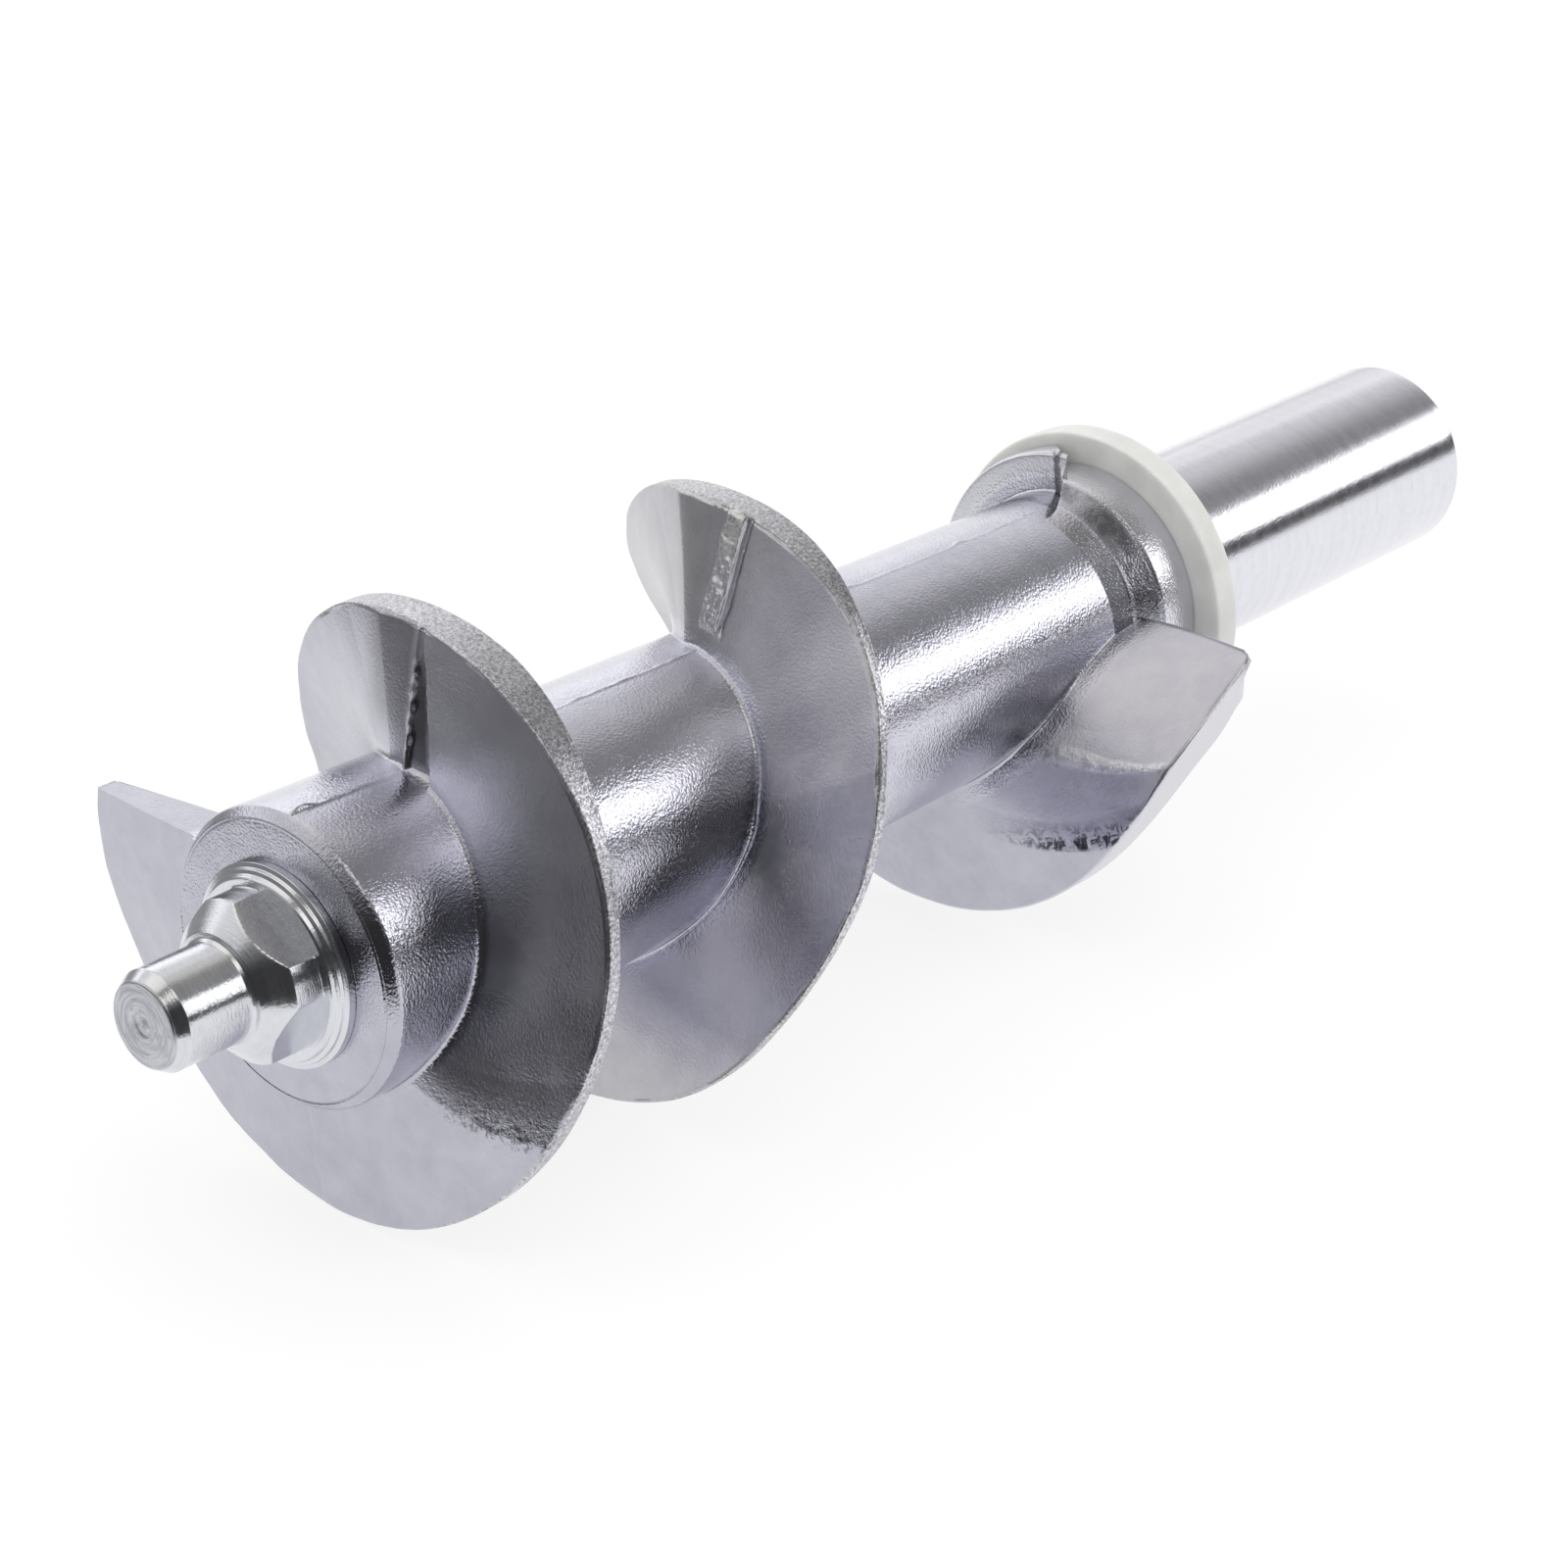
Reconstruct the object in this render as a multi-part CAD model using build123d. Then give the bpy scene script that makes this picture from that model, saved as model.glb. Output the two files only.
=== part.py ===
from build123d import *
import math
import os

# Feed screw (auger) of a meat grinder, lying with its rotation axis along X.
# -X end: the steel knife spindle that carries the knife and the perforated plate.
# +X end: the smooth drive journal that runs in the grinder's bearing.
# The origin is on the rotation axis, at the middle of the bearing stretch of the journal.
# All lengths are in millimetres. Stations are measured along the axis from the flat
# front face of the hub, positive towards the drive end.

# ---- driving dimensions -------------------------------------------------------------
FLIGHT_R = 23.0            # outer radius of the screw flight
HUB_FACE_R = 11.2          # flat front face of the hub
HUB_FRONT_R = 11.9         # hub radius just behind its rounded front edge
HUB_EDGE = 0.8             # axial length of that rounded edge
HUB_REAR_R = 10.5          # hub radius at the flange end: the hub tapers
NECK_START = 88.0          # the near half flares in two cones up to the thrust flange
NECK_CREASE = 90.1
NECK_CREASE_R = 11.2
FLANGE_FRONT = 93.2        # thrust flange, front edge station on the near (-Y) half
FLANGE_REAR = 97.2         # thrust flange, rear face station
FLANGE_R = 12.4
FAR_FLANGE_FRONT = 94.1    # the far (+Y) half is a plain disc, thinner and larger
FAR_FLANGE_R = 14.0
PARTING_TILT = 4.5         # the die's parting plane leans this far towards -Y at the top
FLIGHT_END = 91.1          # plane that ends the last half turn, square to the axis
FLIGHT_START_Z = 6.8       # height of the flat cut that ends the flight at its front

WASHER_T = 2.8             # thrust washer thickness
WASHER_R = 15.1
WASHER_BORE_R = 8.65       # turns on the journal's neck
NECK_R = 8.6               # groove in the journal that holds the washer
JOURNAL_R = 9.15           # bearing journal
JOURNAL_END = 147.2        # rear end face station
JOURNAL_CHAMFER = 0.8
SPIGOT_R = 7.0             # spigot pressed into the hub
SPIGOT_LEN = 34.0
SOCKET_AF = 11.0           # hexagon drive socket, across flats
SOCKET_DEPTH = 22.0

PILOT_R = 3.95             # pilot pin, runs in the perforated plate
PILOT_TIP = -12.9          # tip face station
PILOT_CHAMFER_L = 1.05
PILOT_CHAMFER_R = 0.65
SQUARE_AF = 11.0           # knife square
SQUARE_CORNER_R = 6.5      # its corners are turned
SQUARE_FRONT = -5.95       # small end of the square's turned front cone
SQUARE_CONE_L = 1.4
SQUARE_TWIST = 15.0        # one corner points this far above -Y
COLLAR_FRONT = -1.6        # collar that seats on the hub's front face
COLLAR_R = 8.05
COLLAR_FACE_R = 7.15
COLLAR_BEVEL_L = 0.9
SHANK_R = 5.0              # shank pressed into the hub
SHANK_LEN = 28.0
NECK_GROOVE_R = 4.7        # relief groove between shank and collar

WASHER_GAP = 0.05          # axial play of the thrust washer, each side

# Flight edges: turns from +Y, counted towards -Z, then -Y, then +Z.
# Each row: (turn, front edge at the rim, rear edge at the rim,
#            front edge at the hub, rear edge at the hub), as stations / FLIGHT_R.
FLIGHT = [
    (-0.10, 0.024, 0.123, 0.037, 0.217),
    (-0.05, 0.064, 0.140, 0.047, 0.237),
    (0.00, 0.105, 0.158, 0.057, 0.257),
    (0.05, 0.160, 0.205, 0.077, 0.287),
    (0.10, 0.187, 0.233, 0.107, 0.317),
    (0.15, 0.192, 0.242, 0.122, 0.337),
    (0.20, 0.190, 0.246, 0.132, 0.347),
    (0.25, 0.184, 0.251, 0.145, 0.352),
    (0.30, 0.187, 0.257, 0.162, 0.362),
    (0.35, 0.216, 0.285, 0.182, 0.382),
    (0.40, 0.277, 0.345, 0.222, 0.422),
    (0.45, 0.351, 0.415, 0.302, 0.507),
    (0.50, 0.442, 0.499, 0.362, 0.577),
    (0.55, 0.507, 0.565, 0.402, 0.622),
    (0.60, 0.544, 0.625, 0.442, 0.667),
    (0.65, 0.557, 0.687, 0.482, 0.712),
    (0.70, 0.569, 0.726, 0.512, 0.747),
    (0.75, 0.596, 0.738, 0.537, 0.787),
    (0.80, 0.669, 0.778, 0.597, 0.852),
    (0.85, 0.753, 0.828, 0.697, 0.927),
    (0.90, 0.845, 0.910, 0.817, 1.037),
    (0.95, 0.959, 1.021, 0.937, 1.157),
    (1.00, 1.067, 1.127, 1.047, 1.267),
    (1.05, 1.143, 1.205, 1.127, 1.352),
    (1.10, 1.200, 1.258, 1.187, 1.417),
    (1.15, 1.243, 1.296, 1.227, 1.457),
    (1.20, 1.270, 1.319, 1.257, 1.482),
    (1.25, 1.288, 1.334, 1.285, 1.502),
    (1.30, 1.302, 1.346, 1.337, 1.537),
    (1.35, 1.316, 1.364, 1.422, 1.607),
    (1.40, 1.357, 1.402, 1.537, 1.717),
    (1.45, 1.502, 1.546, 1.617, 1.807),
    (1.50, 1.679, 1.738, 1.695, 1.897),
    (1.55, 1.821, 1.865, 1.759, 1.977),
    (1.60, 1.945, 1.991, 1.815, 2.047),
    (1.65, 2.018, 2.088, 1.862, 2.107),
    (1.70, 2.030, 2.146, 1.899, 2.157),
    (1.75, 2.045, 2.169, 1.932, 2.207),
    (1.80, 2.156, 2.220, 2.017, 2.287),
    (1.85, 2.292, 2.359, 2.157, 2.417),
    (1.90, 2.458, 2.524, 2.337, 2.587),
    (1.95, 2.654, 2.715, 2.547, 2.787),
    (2.00, 2.871, 2.928, 2.767, 3.007),
    (2.05, 3.043, 3.108, 2.917, 3.167),
    (2.10, 3.155, 3.219, 3.017, 3.277),
    (2.15, 3.224, 3.289, 3.077, 3.347),
    (2.20, 3.260, 3.330, 3.107, 3.387),
    (2.25, 3.268, 3.343, 3.127, 3.412),
    (2.30, 3.278, 3.364, 3.157, 3.447),
    (2.35, 3.285, 3.393, 3.207, 3.497),
    (2.40, 3.308, 3.462, 3.302, 3.577),
    (2.45, 3.416, 3.619, 3.447, 3.737),
    (2.48, 3.583, 3.856, 3.537, 3.917),
    (2.50, 3.780, 4.073, 3.647, 4.077),
    (2.52, 3.997, 4.270, 3.807, 4.257),
    (2.54, 4.214, 4.477, 3.997, 4.447),
]

JOURNAL_START = FLANGE_REAR + WASHER_T + 2 * WASHER_GAP
X0 = (JOURNAL_START + JOURNAL_END) / 2     # station of the origin


def at(station):
    """X coordinate of a station."""
    return station - X0


def revolved(points):
    """Solid of revolution about X from (station, radius) points."""
    outline = Polyline(*[(at(s), r, 0) for s, r in points], close=True)
    return revolve(make_face(outline), Axis.X, 360)


def hub_radius(station):
    f = (station - HUB_EDGE) / (NECK_START - HUB_EDGE)
    return HUB_FRONT_R + (HUB_REAR_R - HUB_FRONT_R) * f


# ---- casting: hub, flange and helical flight in one piece ----------------------------
hub = revolved(
    [
        (0, 0),
        (0, HUB_FACE_R),
        (0.25, HUB_FACE_R + 0.42),
        (HUB_EDGE, HUB_FRONT_R),
        (FLANGE_REAR, hub_radius(FLANGE_REAR)),
        (FLANGE_REAR, 0),
    ]
)

# The near half of the flange, with the cones that lead up to it, and the far half.
near_flange = revolved(
    [
        (NECK_START, 0),
        (NECK_START, hub_radius(NECK_START)),
        (NECK_CREASE, NECK_CREASE_R),
        (FLANGE_FRONT, FLANGE_R - 0.3),
        (FLANGE_FRONT + 0.3, FLANGE_R),
        (FLANGE_REAR, FLANGE_R),
        (FLANGE_REAR, 0),
    ]
)
far_flange = revolved(
    [
        (FAR_FLANGE_FRONT, 0),
        (FAR_FLANGE_FRONT, FAR_FLANGE_R - 0.3),
        (FAR_FLANGE_FRONT + 0.3, FAR_FLANGE_R),
        (FLANGE_REAR, FAR_FLANGE_R),
        (FLANGE_REAR, 0),
    ]
)
far_side = (
    Pos(at(FLANGE_REAR), 0, 0) * Rot(PARTING_TILT, 0, 0) * Pos(0, 20, 0) * Box(20, 40, 40)
)

INNER_R = 0.36 * FLIGHT_R   # the flight's sections start inside the hub


def section(row):
    """One radial section of the flight, as a closed four-sided wire."""
    turn, front_rim, rear_rim, front_hub, rear_hub = row
    angle = -2 * math.pi * turn
    k = (0.49 * FLIGHT_R - INNER_R) / (FLIGHT_R - 0.49 * FLIGHT_R)
    front_in = front_hub + (front_hub - front_rim) * k
    rear_in = rear_hub + (rear_hub - rear_rim) * k
    corners = [
        (front_in, INNER_R),
        (front_rim, FLIGHT_R),
        (rear_rim, FLIGHT_R),
        (rear_in, INNER_R),
    ]
    return Wire.make_polygon(
        [
            Vector(at(s * FLIGHT_R), r * math.cos(angle), r * math.sin(angle))
            for s, r in corners
        ],
        close=True,
    )


wires = [section(row) for row in FLIGHT]
casting = hub
# The flight is skinned in lengths of about a quarter turn, which meet face to face.
# A plane square to the axis ends it at the rear.
before_end = Pos(at(FLIGHT_END) - 100, 0, 0) * Box(200, 80, 80)
for first in range(0, len(wires) - 1, 5):
    run = wires[first : first + 6]
    if len(run) > 1:
        length = Solid.make_loft(run, ruled=False)
        if run[-1].bounding_box().max.X > at(FLIGHT_END):
            length = length & before_end
        casting = casting + length

# The flight starts at a flat horizontal cut.
start_cut = Pos(at(0.117 * FLIGHT_R), 18 + 1.5, FLIGHT_START_Z + 10) * Box(
    0.62 * FLIGHT_R, 36, 20
)
start_cut = start_cut - revolved(
    [(-30, 0), (-30, HUB_FRONT_R - 0.02), (60, HUB_FRONT_R - 0.02), (60, 0)]
)
casting = casting - start_cut
casting = casting + (near_flange - far_side) + (far_flange & far_side)

# Blind bores: the front one takes the spindle's shank, the rear one the journal's spigot.
casting = casting - revolved(
    [(-1, 0), (-1, SHANK_R), (SHANK_LEN + 1, SHANK_R), (SHANK_LEN + 3, 0)]
)
casting = casting - revolved(
    [
        (FLANGE_REAR - SPIGOT_LEN - 4, 0),
        (FLANGE_REAR - SPIGOT_LEN - 1, SPIGOT_R),
        (FLANGE_REAR + 1, SPIGOT_R),
        (FLANGE_REAR + 1, 0),
    ]
)

# ---- knife spindle ------------------------------------------------------------------
spindle = revolved(
    [
        (PILOT_TIP, 0),
        (PILOT_TIP, PILOT_R - PILOT_CHAMFER_R),
        (PILOT_TIP + PILOT_CHAMFER_L, PILOT_R),
        (COLLAR_FRONT, PILOT_R),
        (COLLAR_FRONT, COLLAR_FACE_R),
        (COLLAR_FRONT + COLLAR_BEVEL_L, COLLAR_R),
        (0, COLLAR_R),
        (0, NECK_GROOVE_R),
        (1.6, NECK_GROOVE_R),
        (1.9, SHANK_R),
        (SHANK_LEN - 1, SHANK_R),
        (SHANK_LEN, SHANK_R - 1),
        (SHANK_LEN, 0),
    ]
)
square_len = COLLAR_FRONT - SQUARE_FRONT
square = (
    Pos(at(SQUARE_FRONT) + square_len / 2, 0, 0)
    * Rot(-SQUARE_TWIST - 45, 0, 0)
    * Box(square_len + 0.02, SQUARE_AF, SQUARE_AF)
)
square = square & revolved(
    [
        (SQUARE_FRONT, 0),
        (SQUARE_FRONT, PILOT_R + 0.25),
        (SQUARE_FRONT + SQUARE_CONE_L, SQUARE_CORNER_R),
        (COLLAR_FRONT + 0.01, SQUARE_CORNER_R),
        (COLLAR_FRONT + 0.01, 0),
    ]
)
spindle = spindle + square

# ---- drive journal ------------------------------------------------------------------
journal = revolved(
    [
        (FLANGE_REAR - SPIGOT_LEN, 0),
        (FLANGE_REAR - SPIGOT_LEN, SPIGOT_R - 1),
        (FLANGE_REAR - SPIGOT_LEN + 1, SPIGOT_R),
        (FLANGE_REAR, SPIGOT_R),
        (FLANGE_REAR, NECK_R),
        (JOURNAL_START, NECK_R),
        (JOURNAL_START, JOURNAL_R),
        (JOURNAL_END - JOURNAL_CHAMFER, JOURNAL_R),
        (JOURNAL_END, JOURNAL_R - JOURNAL_CHAMFER),
        (JOURNAL_END, 0),
    ]
)
socket = extrude(
    Plane.YZ.offset(at(JOURNAL_END - SOCKET_DEPTH))
    * RegularPolygon(SOCKET_AF / 2, 6, major_radius=False),
    SOCKET_DEPTH + 2,
)
journal = journal - socket
# lead-in of the socket and the drill point at its bottom
journal = journal - revolved(
    [
        (JOURNAL_END - 0.9, 0),
        (JOURNAL_END - 0.9, SOCKET_AF / 2),
        (JOURNAL_END + 0.1, SOCKET_AF / 2 + 1.0),
        (JOURNAL_END + 0.1, 0),
    ]
)
journal = journal - revolved(
    [
        (JOURNAL_END - SOCKET_DEPTH + 0.5, 0),
        (JOURNAL_END - SOCKET_DEPTH + 0.5, SOCKET_AF / 2 - 0.1),
        (JOURNAL_END - SOCKET_DEPTH - 3, SOCKET_AF / 2 - 0.1),
        (JOURNAL_END - SOCKET_DEPTH - 6, 0),
    ]
)

# ---- thrust washer ------------------------------------------------------------------
w0 = FLANGE_REAR + WASHER_GAP
w1 = w0 + WASHER_T
washer = revolved(
    [
        (w0, WASHER_BORE_R),
        (w0, WASHER_R - 0.4),
        (w0 + 0.4, WASHER_R),
        (w1 - 0.4, WASHER_R),
        (w1, WASHER_R - 0.4),
        (w1, WASHER_BORE_R),
    ]
)

os.makedirs("parts", exist_ok=True)
for name, solid in (
    ("auger_casting", casting),
    ("knife_spindle", spindle),
    ("drive_journal", journal),
    ("thrust_washer", washer),
):
    export_step(solid, f"parts/{name}.step")
    box = solid.bounding_box()
    print(name, len(solid.solids()), round(solid.volume), box.min, box.max)
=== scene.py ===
"""Meat grinder auger: detailed meshes, materials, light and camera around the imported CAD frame."""

import bpy
import math
import numpy as np
from mathutils import Matrix, Vector


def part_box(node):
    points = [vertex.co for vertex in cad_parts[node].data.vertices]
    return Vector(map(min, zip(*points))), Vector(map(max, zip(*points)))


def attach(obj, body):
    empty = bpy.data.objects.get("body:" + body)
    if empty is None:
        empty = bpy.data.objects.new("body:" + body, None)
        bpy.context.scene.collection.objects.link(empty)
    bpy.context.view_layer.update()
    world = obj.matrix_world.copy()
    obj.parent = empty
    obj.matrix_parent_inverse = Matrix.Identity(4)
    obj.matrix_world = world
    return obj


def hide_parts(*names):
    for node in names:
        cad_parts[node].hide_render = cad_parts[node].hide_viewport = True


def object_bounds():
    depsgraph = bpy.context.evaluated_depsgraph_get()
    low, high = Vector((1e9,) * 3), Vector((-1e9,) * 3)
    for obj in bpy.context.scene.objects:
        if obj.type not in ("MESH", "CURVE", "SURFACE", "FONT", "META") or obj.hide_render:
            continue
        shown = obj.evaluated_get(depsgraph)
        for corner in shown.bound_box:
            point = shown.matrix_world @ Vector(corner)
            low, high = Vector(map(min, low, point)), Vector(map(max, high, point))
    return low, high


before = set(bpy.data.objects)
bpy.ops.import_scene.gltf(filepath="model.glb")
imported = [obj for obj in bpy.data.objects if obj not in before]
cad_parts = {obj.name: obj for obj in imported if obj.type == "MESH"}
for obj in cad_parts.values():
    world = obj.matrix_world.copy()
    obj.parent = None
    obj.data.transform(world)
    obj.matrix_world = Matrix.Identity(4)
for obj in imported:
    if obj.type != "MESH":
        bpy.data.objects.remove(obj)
CAD_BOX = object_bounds()
scene = bpy.context.scene

MM = 0.001
X_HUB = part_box("auger_casting")[0].x / MM  # the hub's front face; stations start here
S_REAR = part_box("auger_casting")[1].x / MM - X_HUB  # rear face of the thrust flange
S_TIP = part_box("knife_spindle")[0].x / MM - X_HUB
S_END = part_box("drive_journal")[1].x / MM - X_HUB
S_W0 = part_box("thrust_washer")[0].x / MM - X_HUB
S_W1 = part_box("thrust_washer")[1].x / MM - X_HUB
R_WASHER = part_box("thrust_washer")[1].z / MM
R_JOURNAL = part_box("drive_journal")[1].z / MM
R_FLIGHT = 23.0

TURN = 2 * math.pi
SEAM_TOP = 0.7375  # turns: where the die's parting plane crosses the top
SEAM_BOTTOM = 0.2375

# ------------------------------------------------------------------------------ helpers
_TABLE = {}


def noise(p, size, seed=0):
    """Smooth value noise of points p (n, 3), about -1 to 1, with features of that size."""
    if seed not in _TABLE:
        _TABLE[seed] = np.random.default_rng(1000 + seed).random((32, 32, 32)) * 2 - 1
    g = _TABLE[seed]
    q = np.asarray(p, float) / size + 100.0
    i = np.floor(q).astype(int)
    f = q - i
    f = f * f * f * (f * (f * 6 - 15) + 10)
    out = np.zeros(len(q))
    for dx in (0, 1):
        wx = f[:, 0] if dx else 1 - f[:, 0]
        for dy in (0, 1):
            wy = f[:, 1] if dy else 1 - f[:, 1]
            for dz in (0, 1):
                wz = f[:, 2] if dz else 1 - f[:, 2]
                out += wx * wy * wz * g[(i[:, 0] + dx) % 32, (i[:, 1] + dy) % 32, (i[:, 2] + dz) % 32]
    return out


def fractal(p, size, octaves=3, seed=0):
    out, amp, total = 0.0, 1.0, 0.0
    for k in range(octaves):
        out = out + amp * noise(p, size / 2**k, seed + k)
        total += amp
        amp *= 0.5
    return out / total


def smooth(x, a, b):
    t = np.clip((np.asarray(x, float) - a) / (b - a), 0, 1)
    return t * t * (3 - 2 * t)


def pchip(x, y, q):
    """Monotone cubic interpolation."""
    x, y, q = (np.asarray(v, float) for v in (x, y, q))
    h, d = np.diff(x), np.diff(y) / np.diff(x)
    m = np.zeros(len(x))
    w1, w2 = 2 * h[1:] + h[:-1], h[1:] + 2 * h[:-1]
    same = d[1:] * d[:-1] > 0
    with np.errstate(divide="ignore", invalid="ignore"):
        m[1:-1] = np.where(same, (w1 + w2) / (w1 / d[:-1] + w2 / d[1:]), 0)
    m[0], m[-1] = d[0], d[-1]
    k = np.clip(np.searchsorted(x, q) - 1, 0, len(x) - 2)
    t = (q - x[k]) / h[k]
    return (
        (2 * t**3 - 3 * t**2 + 1) * y[k]
        + (t**3 - 2 * t**2 + t) * h[k] * m[k]
        + (-2 * t**3 + 3 * t**2) * y[k + 1]
        + (t**3 - t**2) * h[k] * m[k + 1]
    )


def rounded(points, radii, n=4):
    """A polyline with its corners replaced by arcs. radii has one entry per point."""
    pts = [np.array(p, float) for p in points]
    out = []
    for i, p in enumerate(pts):
        r = radii[i] if i < len(radii) else 0
        if r <= 0 or i in (0, len(pts) - 1):
            out.append(p)
            continue
        a, b = pts[i - 1] - p, pts[i + 1] - p
        la, lb = np.linalg.norm(a), np.linalg.norm(b)
        a, b = a / la, b / lb
        half = math.acos(max(-1, min(1, float(a @ b)))) / 2
        reach = min(r / math.tan(half), 0.48 * la, 0.48 * lb)
        r = reach * math.tan(half)
        c = p + (a + b) / np.linalg.norm(a + b) * (r / math.sin(half))
        p0, p1 = p + a * reach, p + b * reach
        v0, v1 = p0 - c, p1 - c
        sweep = math.acos(max(-1, min(1, float(v0 @ v1) / (r * r))))
        for k in range(n + 1):
            t = k / n
            s = math.sin(sweep)
            v = v0 * math.sin((1 - t) * sweep) / s + v1 * math.sin(t * sweep) / s if s > 1e-6 else v0
            out.append(c + v)
    return np.array(out)


def refined(profile, step):
    """Extra points along the long runs of a profile."""
    out = [profile[0]]
    for a, b in zip(profile[:-1], profile[1:]):
        n = max(1, int(np.ceil(np.linalg.norm(b - a) / step)))
        for k in range(1, n + 1):
            out.append(a + (b - a) * k / n)
    return np.array(out)


def grid_faces(nu, nv, wrap_u=False, wrap_v=False):
    a, b = np.meshgrid(
        np.arange(nu if wrap_u else nu - 1), np.arange(nv if wrap_v else nv - 1), indexing="ij"
    )
    a, b = a.ravel(), b.ravel()
    a1, b1 = (a + 1) % nu, (b + 1) % nv
    return np.stack([a * nv + b, a1 * nv + b, a1 * nv + b1, a * nv + b1], 1)


def new_mesh(name, verts, faces):
    """A mesh object from vertices in mm (station, y, z)."""
    v = np.array(verts, float).copy()
    v[:, 0] += X_HUB
    mesh = bpy.data.meshes.new(name)
    mesh.from_pydata((v * MM).tolist(), [], [list(map(int, f)) for f in faces])
    mesh.validate()
    mesh.update()
    o = bpy.data.objects.new(name, mesh)
    scene.collection.objects.link(o)
    return o


def outward(o):
    """Makes the normals of a closed mesh point outwards."""
    import bmesh

    bm = bmesh.new()
    bm.from_mesh(o.data)
    bmesh.ops.recalc_face_normals(bm, faces=bm.faces)
    if bm.calc_volume(signed=True) < 0:
        bmesh.ops.reverse_faces(bm, faces=bm.faces)
    bm.to_mesh(o.data)
    bm.free()
    return o


def revolved(name, profile, n=256, radius=None, angles=None):
    """A closed solid of revolution from (station, radius) points that start and end on the axis,
    or, if the profile closes on itself, a ring. radius(station, r, angle) may change it."""
    profile = np.asarray(profile, float)
    th = np.linspace(0, TURN, n, endpoint=False) if angles is None else np.asarray(angles)
    n = len(th)
    ring = np.linalg.norm(profile[0] - profile[-1]) < 1e-9
    if ring:
        profile = profile[:-1]
        body = profile
    else:
        body = profile[1:-1]
    s = np.repeat(body[:, 0][None], n, 0)
    r = np.repeat(body[:, 1][None], n, 0)
    a = np.repeat(th[:, None], len(body), 1)
    if radius is not None:
        s, r = radius(s, r, a)
    P = np.stack([s, r * np.cos(a), r * np.sin(a)], -1).reshape(-1, 3)
    faces = grid_faces(n, len(body), wrap_u=True, wrap_v=ring).tolist()
    if not ring:
        k = len(P)
        P = np.vstack([P, [[profile[0][0], 0, 0], [profile[-1][0], 0, 0]]])
        m = len(body)
        for i in range(n):
            j = (i + 1) % n
            faces.append([k, j * m, i * m])
            faces.append([k + 1, i * m + m - 1, j * m + m - 1])
    return outward(new_mesh(name, P, faces))


def union(objects, name):
    """One watertight mesh from overlapping closed ones."""
    base = objects[0]
    for other in objects[1:]:
        mod = base.modifiers.new("union", "BOOLEAN")
        mod.operation = "UNION"
        mod.object = other
        mod.solver = "MANIFOLD"
        dg = bpy.context.evaluated_depsgraph_get()
        made = bpy.data.meshes.new_from_object(base.evaluated_get(dg))
        base.modifiers.clear()
        old = base.data
        base.data = made
        bpy.data.meshes.remove(old)
        m = other.data
        bpy.data.objects.remove(other)
        bpy.data.meshes.remove(m)
    base.name = name
    base.data.name = name
    return base


def vertices(o):
    co = np.zeros(len(o.data.vertices) * 3)
    o.data.vertices.foreach_get("co", co)
    return co.reshape(-1, 3)


def push(o, amount):
    """Moves the vertices along their normals; amount(points in mm) gives mm."""
    co = vertices(o)
    no = np.zeros(len(o.data.vertices) * 3)
    o.data.vertices.foreach_get("normal", no)
    p = co / MM
    p[:, 0] -= X_HUB
    co = co + no.reshape(-1, 3) * amount(p)[:, None] * MM
    o.data.vertices.foreach_set("co", co.ravel())
    o.data.update()


def finish_piece(o, material, sharp=38, weighted=True):
    for p in o.data.polygons:
        p.use_smooth = True
    o.data.set_sharp_from_angle(angle=math.radians(sharp))
    if weighted:
        m = o.modifiers.new("normals", "WEIGHTED_NORMAL")
        m.keep_sharp = True
        m.weight = 50
    o.data.materials.clear()
    o.data.materials.append(material)
    return o


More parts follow.
